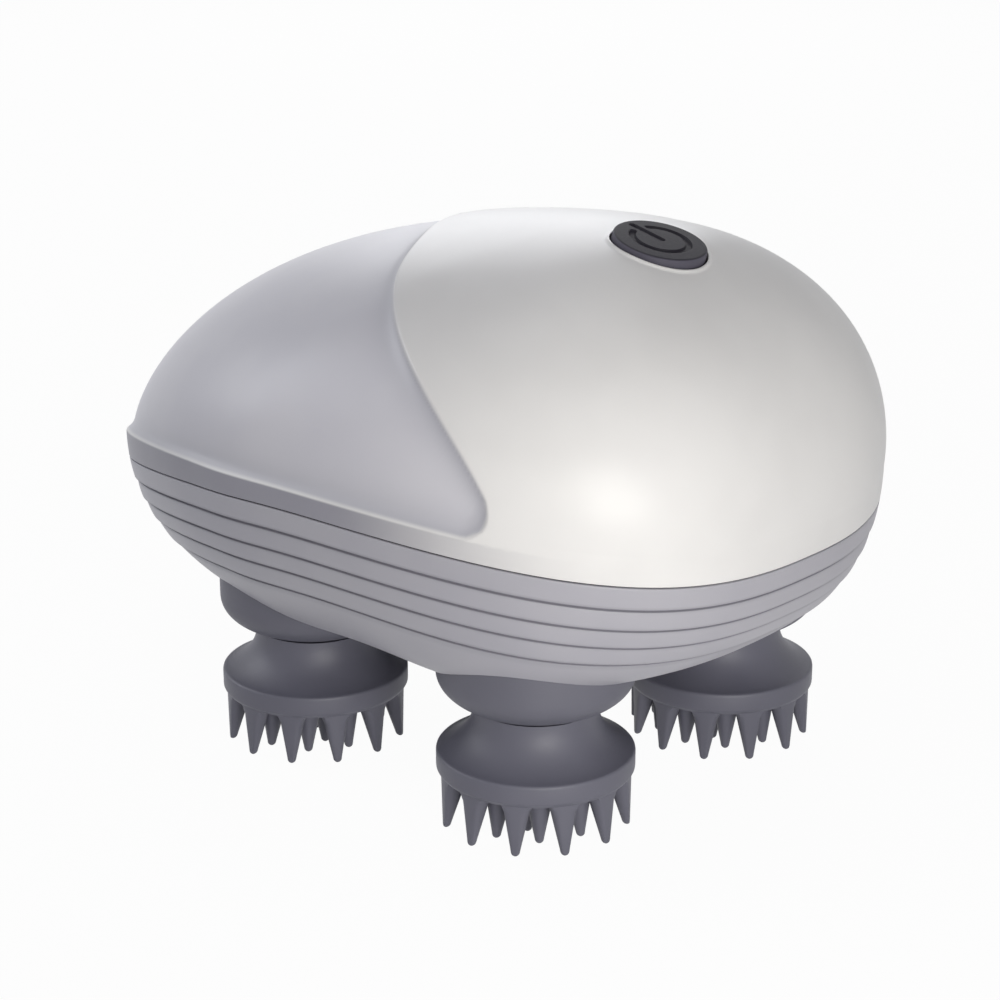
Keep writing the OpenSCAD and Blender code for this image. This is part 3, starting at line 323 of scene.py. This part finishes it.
def lathe(profile, steps, closed=False):
    """A turned piece round the Z axis. Its profile is a list of radii and heights."""
    turned = bmesh.new()
    line = [turned.verts.new((r * MM, 0, z * MM)) for r, z in profile]
    pairs = list(zip(line, line[1:])) + ([(line[-1], line[0])] if closed else [])
    edges = [turned.edges.new(pair) for pair in pairs]
    bmesh.ops.spin(turned, geom=line + edges, cent=(0, 0, 0), axis=(0, 0, 1), dvec=(0, 0, 0),
                   angle=2 * math.pi, steps=steps, use_merge=True, use_duplicate=False)
    seal(turned)
    return turned


def put(builder, matrix):
    """Moves a bmesh to its place."""
    bmesh.ops.transform(builder, matrix=matrix, verts=builder.verts[:])
    return builder


def join(*builders):
    """One bmesh that holds all the others."""
    whole = bmesh.new()
    for builder in builders:
        carrier = bpy.data.meshes.new("carrier")
        builder.to_mesh(carrier)
        builder.free()
        whole.from_mesh(carrier)
        bpy.data.meshes.remove(carrier)
    return whole


def cut(shape, builder, operation="DIFFERENCE"):
    """Takes a bmesh away from a piece for good, or joins it to the piece."""
    tool = show("cutter", builder)
    work = shape.modifiers.new("cut", "BOOLEAN")
    work.operation, work.object, work.solver = operation, tool, "MANIFOLD"
    bpy.context.view_layer.update()
    result = bpy.data.meshes.new_from_object(shape.evaluated_get(bpy.context.evaluated_depsgraph_get()))
    shape.modifiers.clear()
    old, tool_mesh = shape.data, tool.data
    shape.data = result
    bpy.data.meshes.remove(old)
    result.name = shape.name
    bpy.data.objects.remove(tool)
    bpy.data.meshes.remove(tool_mesh)


def points_of(shape):
    """All the points of a piece, in millimetres."""
    spots = np.empty(len(shape.data.vertices) * 3)
    shape.data.vertices.foreach_get("co", spots)
    return spots.reshape(-1, 3) / MM


def mark(shape, name, values):
    """Keeps a number for each point, which a finish can read."""
    kept = shape.data.attributes.new(name, "FLOAT", "POINT")
    kept.data.foreach_set("value", np.asarray(values, np.float32))


def move(x, y, z):
    """A move by millimetres."""
    return Matrix.Translation((x * MM, y * MM, z * MM))


BUTTON_FRAME = move(*BUTTON_AT) @ Matrix.Rotation(math.radians(BUTTON_TILT), 4, "Y")
PORT_FRAME = move(*PORT_AT) @ Matrix.Rotation(math.radians(PORT_TILT), 4, "Y")


def rod(radius, low, high, steps):
    """A plain turned rod."""
    return lathe([(0, low), (radius, low), (radius, high), (0, high)], steps)


def stadium(width, height, start, end, edge=0.0):
    """A bar with round ends that lies along X, as the charge port's parts do."""
    bar = bmesh.new()
    steps, r, half = 24, height / 2, (width - height) / 2
    ends = [(side, math.pi * (k / steps - side / 2)) for side in (1, -1) for k in range(steps + 1)]
    outline = [(side * half + r * math.cos(turn), r * math.sin(turn)) for side, turn in ends]
    face = bar.faces.new([bar.verts.new((start * MM, y * MM, z * MM)) for y, z in outline])
    grown = bmesh.ops.extrude_face_region(bar, geom=[face])
    far = [g for g in grown["geom"] if isinstance(g, bmesh.types.BMVert)]
    bmesh.ops.translate(bar, verts=far, vec=((end - start) * MM, 0, 0))
    seal(bar)
    if edge:
        rims = [e for e in bar.edges if e.calc_face_angle(0) > 1.0]
        bmesh.ops.bevel(bar, geom=rims, offset=edge * MM, offset_type="OFFSET", affect="EDGES",
                        segments=3, profile=0.5, material=-1)
    return bar


def rim_round(level):
    """Levels and insets of the small round between a rim and the outside."""
    return [(level + SEAM_ROUND * (1 - math.cos(a)) / HULL_H, SEAM_ROUND * (1 - math.sin(a)))
            for a in np.radians((22, 45, 68, 90))]


# Top cover

def cover_rows():
    """Levels and insets from the inner top, round the rim, to the outer top."""
    rim = -(SEAM - SEAM_HALF)
    rows = [(level, WALL) for level in np.sin(np.radians(np.linspace(90, 0, 26)))]
    rows += [(rim * 0.5, WALL), (rim, WALL), (rim, RIM_MIDDLE), (rim, SEAM_ROUND)]
    rows += rim_round(rim)
    rows += [(level, 0.0) for level in np.linspace(rim + SEAM_ROUND / HULL_H, 0, 12)[1:-1]]
    first_outer = len(rows)
    # The outer rows lie closer together over the first 8 degrees, where the panel's lip is
    climb = np.concatenate([np.linspace(0, 8, 26), np.linspace(8, 90, 124)[1:]])
    rows += [(level, 0.0) for level in np.sin(np.radians(climb))]
    return np.array(rows), first_outer


def button_lip(cover_builder):
    """A low raised ring on the cover, round the button's hole."""
    tree = BVHTree.FromBMesh(cover_builder)
    down = (BUTTON_FRAME.to_3x3() @ Vector((0, 0, -1))).normalized()
    above, steps = 4, 128
    # Radius, and height over the cover
    profile = np.array([(6.3, -0.6), (6.3, 0.18), (6.6, 0.23), (6.7, 0.23), (6.8, 0.18), (6.9, 0.1),
                        (7.05, 0.03), (7.3, -0.03), (7.3, -0.6), (6.3, -0.6)])

    def place(column, row):
        turn = 2 * math.pi * column / steps
        r = profile[row, 0]
        spots = np.stack([r * np.cos(turn), r * np.sin(turn), np.zeros(len(row))], -1)
        for k, (x, y, _) in enumerate(spots):
            hit = tree.ray_cast(BUTTON_FRAME @ Vector((x * MM, y * MM, above * MM)), down)
            spots[k, 2] = above - hit[3] / MM + profile[row[k], 1]
        return spots

    lip = wrap(steps, len(profile) - 1, place)
    seal(lip)
    return put(lip, BUTTON_FRAME)


def make_cover():
    """The pearl cover, with its lowered panel, the lip round the button and two holes."""
    rows, first_outer = cover_rows()
    # The panel's rows start a little under the widest line and end short of the top's middle
    first, last = first_outer - 10, len(rows) - 6
    known = KDTree((COLUMNS + 1) * len(rows))
    made = {}

    def place(column, row):
        angle = 2 * math.pi * column / COLUMNS
        level, inset = rows[row, 0], rows[row, 1]
        spots = skin(angle, level, inset)
        outer = (row >= first) & (row < last)
        angles, levels = draw_to_edge(angle[outer], level[outer], inset[outer])
        at, _, _, normal = on_skin(angles, levels, inset[outer])
        distance, _, by_cap = panel_field(at, normal)
        spots[outer] = at - normal * panel_drop(distance, by_cap)[:, None]
        for k, spot in enumerate(spots[outer].tolist()):
            known.insert(spot, k)
        made["distance"] = distance
        return spots

    shell = wrap_body(rows, place)
    lip = button_lip(shell)
    cover = finish_piece(shell, "pearl_cover", "base", "cover", "top_cover")
    cut(cover, lip, "UNION")
    cut(cover, join(
        put(rod(BUTTON_R + BUTTON_GAP, -9, 3, 96), BUTTON_FRAME),
        put(stadium(PLUG_W + 2 * PLUG_GAP, PLUG_H + 2 * PLUG_GAP, -6, 12), PORT_FRAME),
    ))
    shade_soft(cover, 58)
    # The cuts renew the points, so each takes its distance from the nearest point made above
    known.balance()
    spots = points_of(cover)
    distance = made["distance"][[known.find(spot)[1] for spot in spots.tolist()]]
    # Painted shade: the lowered panel is painted cooler and darker than the cap; the same mark also gives
    # the panel its own gloss and coat
    mark(cover, "panel", smooth((distance - PANEL_SHADE_START) / PANEL_SHADE_LENGTH))
    # Painted shade: darker in the panel near its wall, fading with the distance from it
    mark(cover, "wall_shade", np.exp(-(np.maximum(distance, 0) / SHADE_REACH) ** SHADE_POWER))
    # Painted shade: grey on the band between the panel's lip and the seam, which fades out towards the front
    band_shade_fade = 1 - smooth((spots[:, 0] - BAND_SHADE_FADE_START) / BAND_SHADE_FADE_LENGTH)
    mark(cover, "band", smooth(0.5 - rim_edge(spots) / BAND_SHADE_BLEND) * band_shade_fade)


# Lower housing, and the ring in the seam

def housing_rows():
    """Levels and insets from the inner bottom, over the rim and the grooves, to the outer bottom."""
    rim = SEAM + SEAM_HALF
    rows = [(SEAM + (1 - SEAM) * math.sin(k / 24 * math.pi / 2), WALL) for k in range(24, 0, -1)]
    rows += [(rim, WALL), (rim, RIM_MIDDLE), (rim, SEAM_ROUND)] + rim_round(rim)
    start, step = SEAM_T / 2 + SEAM_ROUND, 0.0
    for groove in GROOVES:
        end = groove - GROOVE_HALF - GROOVE_LEAD
        for k in range(1, 9):
            t = k / 8
            rows.append((SEAM + (start + (end - start) * t) / HULL_H, step * (1 - t) ** 1.4))
        rows += [(SEAM + (end + down) / HULL_H, depth) for down, depth in GROOVE_SHAPE]
        start, step = end + GROOVE_SHAPE[-1][0], BAND_STEP
    last = SEAM + start / HULL_H
    for k in range(1, 31):
        t = last + (1 - last) * math.sin(k / 30 * math.pi / 2)
        rows.append((t, step * max(0, 1 - 3 * (t - last)) ** 1.5))
    # The rows were counted downwards, and the skin's levels under the widest line are negative
    return np.array(rows) * (-1, 1)


def make_housing():
    """The grey housing with its grooves, open for the four cups and the screws."""
    housing = finish_piece(wrap_body(housing_rows()), "grey_housing", "base", "housing", "lower_housing")
    holes = [put(rod(CUP_R + CUP_PLAY, -1, TRAY_Z + 1, 128), move(*head_at(end, side)))
             for end, side, _ in HEADS.values()]
    holes += [put(rod(HOLE_R, 0, HOLE_TOP, 64), move(x, 0, 0)) for x in PILLAR_XS]
    cut(housing, join(*holes))
    shade_soft(housing, 32)
    # How far each point is under the seam, with the soft blend to the flat bottom taken out
    spots = points_of(housing)
    lifted = spots[:, 2] - FLOOR_BLEND ** 2 / (4 * np.maximum(spots[:, 2] - FLOOR_Z, 0.5))
    drop = WIDEST_Z + crown(spots[:, 0]) - SEAM_DROP - lifted
    nearest = np.min(np.abs(drop[:, None] - np.array(GROOVES)[None, :]), 1)
    # Painted shade: the points in and just under each groove are marked for a darker colour, where the
    # groove's shadow falls
    mark(housing, "groove", smooth(1.7 - nearest / 0.25))


def make_gasket():
    """The dark ring in the seam, a little back from the skin."""
    low, high = SEAM + SEAM_HALF, SEAM - SEAM_HALF
    rows = np.array([(-low, 0.3), (-SEAM, 0.24), (-high, 0.3), (-high, 1.1), (-high, WALL - 0.1),
                     (-SEAM, WALL - 0.05), (-low, WALL - 0.1), (-low, 1.1), (-low, 0.3)])
    finish_piece(wrap_body(rows), "seam_ring", "base", "gasket", "seam_gasket")


# Cups and heads

def head_at(end, side):
    """Where a head's axis meets the ground, at an end and a side of the body."""
    return HEADS_X + end * PITCH_X / 2, side * PITCH_Y / 2, 0


def cup_side(angle):
    """The cup's belly, a little fuller than an ellipse, from 0 at its widest to 90 at its bottom."""
    out, down = math.cos(angle) ** BELLY_POWER, math.sin(angle) ** BELLY_POWER
    return CUP_R * out, BELLY_Z - (BELLY_Z - CUP_Z) * down


def cup_profile():
    """Outside of a cup from the tray down to the shaft hole, then back up inside."""
    mouth_r, bottom, inner_r = 2.5, CUP_Z + 2.6, CUP_R - 1.8
    outside = [(CUP_R, TRAY_Z)] + [cup_side(a) for a in np.radians(np.linspace(0, 80, 30))]
    mouth = [(mouth_r + 0.3, CUP_Z + 0.01), (mouth_r, CUP_Z + 0.3), (mouth_r, CUP_Z + 2.2)]
    inside = [(mouth_r + 0.4, bottom), (7.6, bottom), (inner_r, BELLY_Z - 1.4), (inner_r, TRAY_Z)]
    return outside + mouth + inside


def head_profile():
    """From the middle of the disc's underside, out to the rim, up the neck and in under the cup."""
    # Distance in from the disc's edge, and height over its underside, then over the rim's top
    lower = ((0.55, 0), (0.42, 0.05), (0.36, 0.15), (0.32, 0.27), (0.22, 0.34), (0.1, 0.43),
             (0.02, 0.6), (0, 0.85))
    upper = ((0, -0.45), (0.05, -0.2), (0.18, -0.04), (0.4, 0.03))
    rim = [(DISC_R - inwards, DISC_Z + height) for inwards, height in lower]
    rim += [(DISC_R - inwards, RIM_Z + height) for inwards, height in upper]
    under_cup = [cup_side(a) for a in np.radians(np.linspace(55, 78, 9))]
    under_cup = [(r, z - CUP_GAP) for r, z in under_cup if r < NECK_R - 0.25]
    (foot_r, foot), top = rim[-1], under_cup[0][1] + 0.08
    neck = [(NECK_R + (foot_r - NECK_R) * (1 - t) ** 2.2, foot + (top - foot) * t ** 1.2)
            for t in np.linspace(0, 1, 25)[1:]]
    bore_r, bore_end = 2.6, 9.4
    bore = [(bore_r + 0.1, CUP_Z - CUP_GAP), (bore_r, CUP_Z - 0.4), (bore_r, bore_end), (0, bore_end)]
    return [(0, DISC_Z)] + rim + neck + under_cup + bore


def spike_profile(low):
    """One spike, standing on its root at the disc, with its round tip at a low height."""
    tip_r, foot_r, foot_z = SPIKE_TIP_R, 1.84, 6.2
    tip = [(tip_r * math.sin(a), low + tip_r - tip_r * math.cos(a))
           for a in np.radians((0, 22, 44, 64, 80))]
    side = [(tip_r + (foot_r - tip_r) * (z - low - tip_r) / (foot_z - low), z)
            for z in (low + 0.85, 2.2, 3.7, 5.0, 5.9)]
    root = [(1.88, 6.35), (2.0, 6.7), (2.25, DISC_Z - 0.03), (2.25, DISC_Z + 0.4), (0, DISC_Z + 0.4)]
    return tip + side + root


def make_spike(low, radius, turn):
    """A spike in its ring. Its tip is a little further out than its root, which stays on the disc."""
    spike = lathe(spike_profile(low), 20)
    most = (DISC_R - SPIKE_INSET) * MM
    for v in spike.verts:
        x = v.co.x + radius * (1 - SPIKE_LEAN * min(v.co.z / (DISC_Z * MM), 1.0)) * MM
        y = v.co.y
        far = math.hypot(x, y)
        if far > most:
            x, y = x * most / far, y * most / far
        v.co.x = x * math.cos(turn) - y * math.sin(turn)
        v.co.y = x * math.sin(turn) + y * math.cos(turn)
    return spike


def make_cup(name, place):
    """The rubber cup over a head."""
    cup = put(lathe(cup_profile(), 128, closed=True), place)
    finish_piece(cup, name + "_rubber_cup", "base", "cup", name + "_cup")


def make_head(name, place, turn):
    """A soft head: its disc and neck, and three rings of spikes round the one in the middle."""
    # Each ring: how many spikes, its radius, how far it is turned, and how low the tips are
    rings = ((12, 12.3, turn, 0), (10, 9.35, turn + 27.2, 0.5), (6, 4.92, turn, 0), (1, 0.0, 0, 0))
    spikes = [make_spike(low, radius, math.radians(first + 360 * k / count))
              for count, radius, first, low in rings for k in range(count)]
    head = put(join(lathe(head_profile(), 128), *spikes), place)
    finish_piece(head, name + "_soft_head", name, "head_rubber", name + "_head", sharp=40)


def make_heads():
    """The four cups and the four heads under them."""
    for name, (end, side, turn) in HEADS.items():
        place = move(*head_at(end, side))
        make_cup(name, place)
        make_head(name, place, turn)


# Button and plug

def from_symbol(r, turn):
    """Distance from the power symbol's line: a ring, open towards the tail, and a bar in its gap."""
    x, y = r * np.cos(turn), r * np.sin(turn)
    half_gap = math.radians(SYMBOL_GAP)
    end_x, end_y = SYMBOL_R * math.cos(math.pi - half_gap), SYMBOL_R * math.sin(math.pi - half_gap)
    from_end = np.hypot(x - end_x, np.abs(y) - end_y)
    ring = np.where(np.abs(turn - math.pi) < half_gap, from_end, np.abs(r - SYMBOL_R))
    bar = np.hypot(np.maximum(np.maximum(SYMBOL_BAR[0] - x, x - SYMBOL_BAR[1]), 0), y)
    return np.minimum(ring, bar)


def make_button():
    """A round key with a power symbol sunk into its top."""
    spokes, flat = 256, 74
    # The round of the edge and the side below it: distance in from the side, and depth
    edge = np.array([(0.6, 0), (0.45, 0), (0.34, 0), (0.24, 0.02), (0.16, 0.05), (0.09, 0.1),
                     (0.04, 0.17), (0.01, 0.28), (0, 0.42), (0, 0.9), (0, 3.2), (0.04, 3.3), (0.14, 3.35)])
    radii = np.concatenate([np.linspace(0, BUTTON_R - 0.75, flat), BUTTON_R - edge[:, 0]])
    heights = np.concatenate([np.zeros(flat), -edge[:, 1]])

    def place(column, row):
        turn = 2 * math.pi * column / spokes
        r = radii[row]
        sunk = SYMBOL_DEPTH * smooth((SYMBOL_SIDE - from_symbol(r, turn)) / SYMBOL_SOFT)
        crowned = KEY_CROWN * (1 - (r / BUTTON_R) ** 2)
        height = BUTTON_PROUD - KEY_CROWN + heights[row] + crowned - sunk
        return np.stack([r * np.cos(turn), r * np.sin(turn), height], -1)

    top = wrap(spokes, len(radii) - 1, place)
    bmesh.ops.remove_doubles(top, verts=top.verts[:], dist=WELD)
    bmesh.ops.edgeloop_fill(top, edges=[e for e in top.edges if e.is_boundary])
    bmesh.ops.recalc_face_normals(top, faces=top.faces[:])
    flange = rod(7.0, -3.4, -2.65, 96)
    stem = lathe([(0, -6.6), (1.4, -6.6), (1.6, -6.4), (1.6, -3.2), (1.4, -3.0), (0, -3.0)], 32)
    whole = put(join(top, flange, stem), BUTTON_FRAME)
    key = finish_piece(whole, "power_key", "power_button", "button", "power_button", sharp=50)
    local = np.array([BUTTON_FRAME.inverted() @ v.co for v in key.data.vertices]) / MM
    # Painted light: the key's side is marked to be painted lighter, as if lit by the low lamp
    mark(key, "side", smooth((np.hypot(local[:, 0], local[:, 1]) - BUTTON_R + 0.2) / 0.15))


def make_plug():
    """The silicone plug that closes the charge port, with a small pull rib."""
    bar = stadium(PLUG_W, PLUG_H, 0.85, 2.2, edge=0.25)
    rib = stadium(PLUG_W * 0.5, 1.0, 0.3, 1.2, edge=0.2)
    tongue = stadium(7.7, 2.1, 2.0, 5.6, edge=0.25)
    whole = put(join(bar, rib, tongue), PORT_FRAME)
    finish_piece(whole, "silicone_plug", "port_plug", "cover_soft", "port_plug")


make_cover()
make_housing()
make_gasket()
make_heads()
make_button()
make_plug()


# Finishes

class Wire:
    """A number on a shader socket. Sums written with it become Math nodes."""

    def __init__(self, paint, socket):
        self.paint, self.socket = paint, socket

    def _sum(self, operation, *terms):
        return self.paint.node("ShaderNodeMath", {"operation": operation}, dict(enumerate(terms)))

    def __add__(self, other):
        return self._sum("ADD", self, other)

    def __radd__(self, other):
        return self._sum("ADD", other, self)

    def __sub__(self, other):
        return self._sum("SUBTRACT", self, other)

    def __rsub__(self, other):
        return self._sum("SUBTRACT", other, self)

    def __mul__(self, other):
        return self._sum("MULTIPLY", self, other)

    def __rmul__(self, other):
        return self._sum("MULTIPLY", other, self)


class Paint:
    """The nodes of a material or of the world, which all come from one method."""

    def __init__(self, owner):
        owner.use_nodes = True
        self.owner, self.tree = owner, owner.node_tree
        self.tree.nodes.clear()

    def node(self, kind, settings=None, sockets=None, out=0):
        """A node with its settings, then the values or links of its sockets."""
        made = self.tree.nodes.new(kind)
        for name, value in (settings or {}).items():
            setattr(made, name, value)
        for name, value in (sockets or {}).items():
            if isinstance(value, Wire):
                self.tree.links.new(value.socket, made.inputs[name])
            else:
                made.inputs[name].default_value = value
        return Wire(self, made.outputs[out]) if len(made.outputs) else None

    def noise(self, scale, detail=2.0):
        """An unevenness that is fixed to the piece."""
        place = self.node("ShaderNodeTexCoord", out="Object")
        return self.node("ShaderNodeTexNoise", None,
                         {"Vector": place, "Scale": scale, "Detail": detail, "Roughness": 0.55})

    def fade(self, wire, low, high):
        """Goes softly from 0 to 1 while a number goes from low to high."""
        return self.node("ShaderNodeMapRange", {"interpolation_type": "SMOOTHSTEP"},
                         {"Value": wire, "From Min": low, "From Max": high})

    def cloud(self):
        """The faint uneven tint that all the plastics have."""
        return self.fade(self.noise(60), 0.35, 0.65)

    def marked(self, name):
        """A number that the piece keeps for each of its points."""
        return self.node("ShaderNodeAttribute", {"attribute_name": name}, out="Fac")

    def mix(self, share, first, second):
        """A mix of two colours. Its sockets go by number, because their names come more than once."""
        return self.node("ShaderNodeMix", {"data_type": "RGBA"}, {0: share, 6: first, 7: second}, out=2)

    def bump(self, height, strength, distance=0.00004):
        """A relief in the surface, its depth in metres."""
        return self.node("ShaderNodeBump", None,
                         {"Height": height, "Strength": strength, "Distance": distance})

    def seen(self):
        """1 where a surface is seen straight, in a reflection or through glass, else 0."""
        rays = [self.node("ShaderNodeLightPath", out=f"Is {kind} Ray")
                for kind in ("Camera", "Glossy", "Transmission")]
        either = self.node("ShaderNodeMath", {"operation": "MAXIMUM"}, {0: rays[0], 1: rays[1]})
        return self.node("ShaderNodeMath", {"operation": "MAXIMUM"}, {0: either, 1: rays[2]})

    def principled(self, **sockets):
        """The surface of a finish. It gives the finished material."""
        shader = self.node("ShaderNodeBsdfPrincipled", None,
                           {name.replace("_", " "): value for name, value in sockets.items()})
        self.node("ShaderNodeOutputMaterial", None, {"Surface": shader})
        return self.owner


def paint_for(name):
    """The empty nodes of a new material."""
    return Paint(bpy.data.materials.new(name))


def shade(r, g, b):
    """A colour as a screen shows it, from 0 to 255, for a shader."""
    screen = [c / 255 for c in (r, g, b)]
    return (*[c / 12.92 if c <= 0.04045 else ((c + 0.055) / 1.055) ** 2.4 for c in screen], 1.0)


def plastic(name, colour, darker, rough, grain, grain_scale, coat=0.0, coat_rough=0.2):
    """Moulded plastic: a faint cloud in the colour, a fine grain in the gloss and the surface."""
    p = paint_for(name)
    cloud, fine = p.cloud(), p.noise(grain_scale)
    return p.principled(Base_Color=p.mix(cloud, darker, colour),
                        Roughness=rough + (fine - 0.5) * 0.12 + cloud * 0.03,
                        Coat_Weight=coat, Coat_Roughness=coat_rough, Normal=p.bump(fine, grain))


def pearl(name):
    """The cover: pearl white on the cap, with painted shade: cooler and darker in the lowered panel, darker
    still near its wall, and grey just over the seam.
    """
    p = paint_for(name)
    cloud, fine = p.cloud(), p.noise(2600)
    panel, near, band = p.marked("panel"), p.marked("wall_shade"), p.marked("band")
    cap = p.mix(cloud, shade(227, 226, 227), shade(231, 230, 231))
    # Painted shade: the panel's cooler, darker colour, and a darker one still near its wall
    low = p.mix(near, p.mix(cloud, shade(205, 204, 213), shade(209, 208, 216)), shade(182, 182, 191))
    # Painted shade: the grey of the band over the seam
    grey = p.mix(cloud, shade(146, 145, 156), shade(151, 150, 161))
    return p.principled(Base_Color=p.mix(band, p.mix(panel, cap, low), grey),
                        Roughness=0.36 + (fine - 0.5) * 0.1 + panel * 0.06 + band * 0.08,
                        Specular_IOR_Level=0.36, Coat_Weight=panel * 0.3, Coat_Roughness=0.5,
                        Normal=p.bump(fine, 0.08))


def grooved(name, colour, darker, line):
    """The housing: satin grey, with painted shade darkening it down in its grooves."""
    p = paint_for(name)
    cloud, fine, groove = p.cloud(), p.noise(2600), p.marked("groove")
    # Painted shade: line is the darker colour painted into the grooves
    return p.principled(Base_Color=p.mix(groove, p.mix(cloud, darker, colour), line),
                        Roughness=0.46 + (fine - 0.5) * 0.12 + groove * 0.2, Normal=p.bump(fine, 0.16))


def key_finish(name, colour, darker, lit_side_colour):
    """The button: dark on top, with painted light on its lighter side."""
    p = paint_for(name)
    cloud, fine, side = p.cloud(), p.noise(3000), p.marked("side")
    # Painted light: the side mark mixes in the lighter colour of the lit side
    return p.principled(Base_Color=p.mix(side, p.mix(cloud, darker, colour), lit_side_colour),
                        Roughness=0.62 + (fine - 0.5) * 0.1, Specular_IOR_Level=0.22,
                        Normal=p.bump(fine, 0.25))


def metal(name, colour, darker, rough):
    """Metal with a faint brushing and a faint cloud in its colour."""
    p = paint_for(name)
    place = p.node("ShaderNodeTexCoord", out="Object")
    stretched = p.node("ShaderNodeMapping", None, {"Vector": place, "Scale": (1, 1, 14)})
    lines = p.node("ShaderNodeTexNoise", None, {"Vector": stretched, "Scale": 900, "Detail": 2.0})
    cloud = p.fade(p.noise(220, 3.0), 0.3, 0.7)
    return p.principled(Base_Color=p.mix(cloud, darker, colour), Metallic=1.0,
                        Roughness=rough + (lines - 0.5) * 0.2, Normal=p.bump(lines, 0.12, 0.00003))


FINISHES = {
    "cover": pearl("pearl_white"),
    "cover_soft": plastic("soft_white_silicone", shade(206, 205, 210), shade(198, 197, 203), 0.6, 0.2, 2200),
    # The housing's last colour is painted shade for its grooves
    "housing": grooved("satin_grey", shade(172, 171, 180), shade(167, 166, 176), shade(124, 123, 133)),
    "cup": plastic("cup_grey", shade(100, 100, 112), shade(95, 95, 107), 0.55, 0.2, 2400),
    "head_rubber": plastic("head_silicone", shade(101, 101, 114), shade(95, 95, 108), 0.5, 0.2, 2400),
    # The key's last colour is painted light on its side
    "button": key_finish("key_black", shade(27, 25, 34), shade(24, 22, 31), shade(82, 80, 92)),
    "gasket": plastic("seam_black", shade(58, 56, 62), shade(50, 48, 55), 0.7, 0.2, 2400),
    "frame_plastic": plastic("frame_white", shade(214, 214, 212), shade(204, 204, 202), 0.5, 0.2, 1800),
    "ivory_plastic": plastic("gear_ivory", shade(236, 228, 205), shade(228, 219, 194), 0.42, 0.12, 1500),
    "black_plastic": plastic("plain_black", shade(40, 40, 42), shade(34, 34, 36), 0.5, 0.2, 2000),
    "board": plastic("board_green", shade(32, 92, 58), shade(26, 78, 50), 0.4, 0.12, 1200, 0.4, 0.15),
    "cell_wrap": plastic("cell_blue", shade(42, 92, 150), shade(36, 82, 138), 0.35, 0.06, 900, 0.5, 0.1),
    "steel": metal("bright_steel", shade(190, 190, 192), shade(172, 172, 175), 0.3),
    "screw": metal("zinc_screw", shade(176, 176, 180), shade(150, 150, 155), 0.38),
    "motor_steel": metal("motor_can", shade(186, 186, 184), shade(168, 168, 168), 0.34),
    "plated": metal("nickel_plate", shade(206, 204, 198), shade(188, 186, 180), 0.2),
    "brass": metal("brass", shade(202, 168, 98), shade(180, 146, 80), 0.32),
}


def paint(shape, slot):
    """Gives a piece the finish of its slot."""
    shape.data.materials.clear()
    shape.data.materials.append(FINISHES[slot])


for part in frame["record"]["subparts"]:
    paint(frame["nodes"][part["node"]], part["material_slot"])
for piece, slot in PIECES:
    paint(piece, slot)


# Floor, light and camera, with their places in metres

def make_floor():
    """A wide pale floor, which looks white and still takes the object's shadow."""
    builder = bmesh.new()
    bmesh.ops.create_grid(builder, x_segments=8, y_segments=8, size=3.0)
    floor = show("pale_floor", builder)
    p = paint_for("floor_white")
    matt = p.node("ShaderNodeBsdfDiffuse", None, {"Color": (0.8, 0.8, 0.8, 1)})
    glow = p.node("ShaderNodeEmission", None, {"Color": (1, 1, 1, 1), "Strength": 1.0})
    # The small rest of the matt surface is what shows the shadow
    own_glow = 0.965
    both = p.node("ShaderNodeMixShader", None, {0: p.seen() * own_glow, 1: matt, 2: glow})
    p.node("ShaderNodeOutputMaterial", None, {"Surface": both})
    floor.data.materials.append(p.owner)


def make_world():
    """White where it is seen, and a faint cool light on the object."""
    world = bpy.data.worlds.new("studio")
    p = Paint(world)
    light = p.node("ShaderNodeBackground", None, {"Color": (0.86, 0.88, 1.0, 1), "Strength": 0.05})
    white = p.node("ShaderNodeBackground", None, {"Color": (1, 1, 1, 1), "Strength": 1.0})
    both = p.node("ShaderNodeMixShader", None, {0: p.seen(), 1: light, 2: white})
    p.node("ShaderNodeOutputWorld", None, {"Surface": both})
    bpy.context.scene.world = world


def aim(shape, at, towards):
    """Puts a lamp or the camera in its place and turns it to a spot."""
    shape.location = at
    shape.rotation_euler = (Vector(towards) - Vector(at)).to_track_quat("-Z", "Y").to_euler()


def lamp(name, at, towards, size, watts, colour=(1, 1, 1)):
    """A round soft lamp that the camera doesn't see."""
    data = bpy.data.lights.new(name, "AREA")
    data.shape, data.size, data.energy, data.color = "DISK", size, watts, colour
    shape = bpy.data.objects.new(name, data)
    bpy.context.scene.collection.objects.link(shape)
    shape.visible_camera = False
    aim(shape, at, towards)


def make_camera(at, towards, lens):
    """The camera from the photo's side, with a lens in millimetres."""
    data = bpy.data.cameras.new("camera")
    data.sensor_width, data.lens, data.clip_start, data.clip_end = 36.0, lens, 0.01, 20
    camera = bpy.data.objects.new("camera", data)
    bpy.context.scene.collection.objects.link(camera)
    aim(camera, at, towards)
    bpy.context.scene.camera = camera


MIDDLE = (0.0, 0.0, 0.05)
make_floor()
make_world()
lamp("key", (0.268, -0.155, 0.074), (0.045, -0.022, 0.05), 0.15, 0.46, (1.0, 0.985, 0.945))
lamp("near", (0.146, -0.104, 0.058), (0.05, -0.028, 0.048), 0.1, 0.025, (1.0, 0.96, 0.84))
lamp("top", (-0.05, 0.10, 0.9), MIDDLE, 0.7, 1.1)
lamp("high_front", (0.35, -0.35, 0.7), MIDDLE, 0.5, 0.4)
lamp("left", (-0.55, -0.25, 0.35), MIDDLE, 0.4, 1.4, (0.95, 0.965, 1.0))
lamp("back", (-0.55, 0.6, 0.40), MIDDLE, 0.5, 1.7, (0.97, 0.98, 1.0))
make_camera((0.22125, -0.23584, 0.14133), (0.01817, -0.01294, 0.03936), 86.4)
bpy.context.scene.view_settings.view_transform = "Standard"
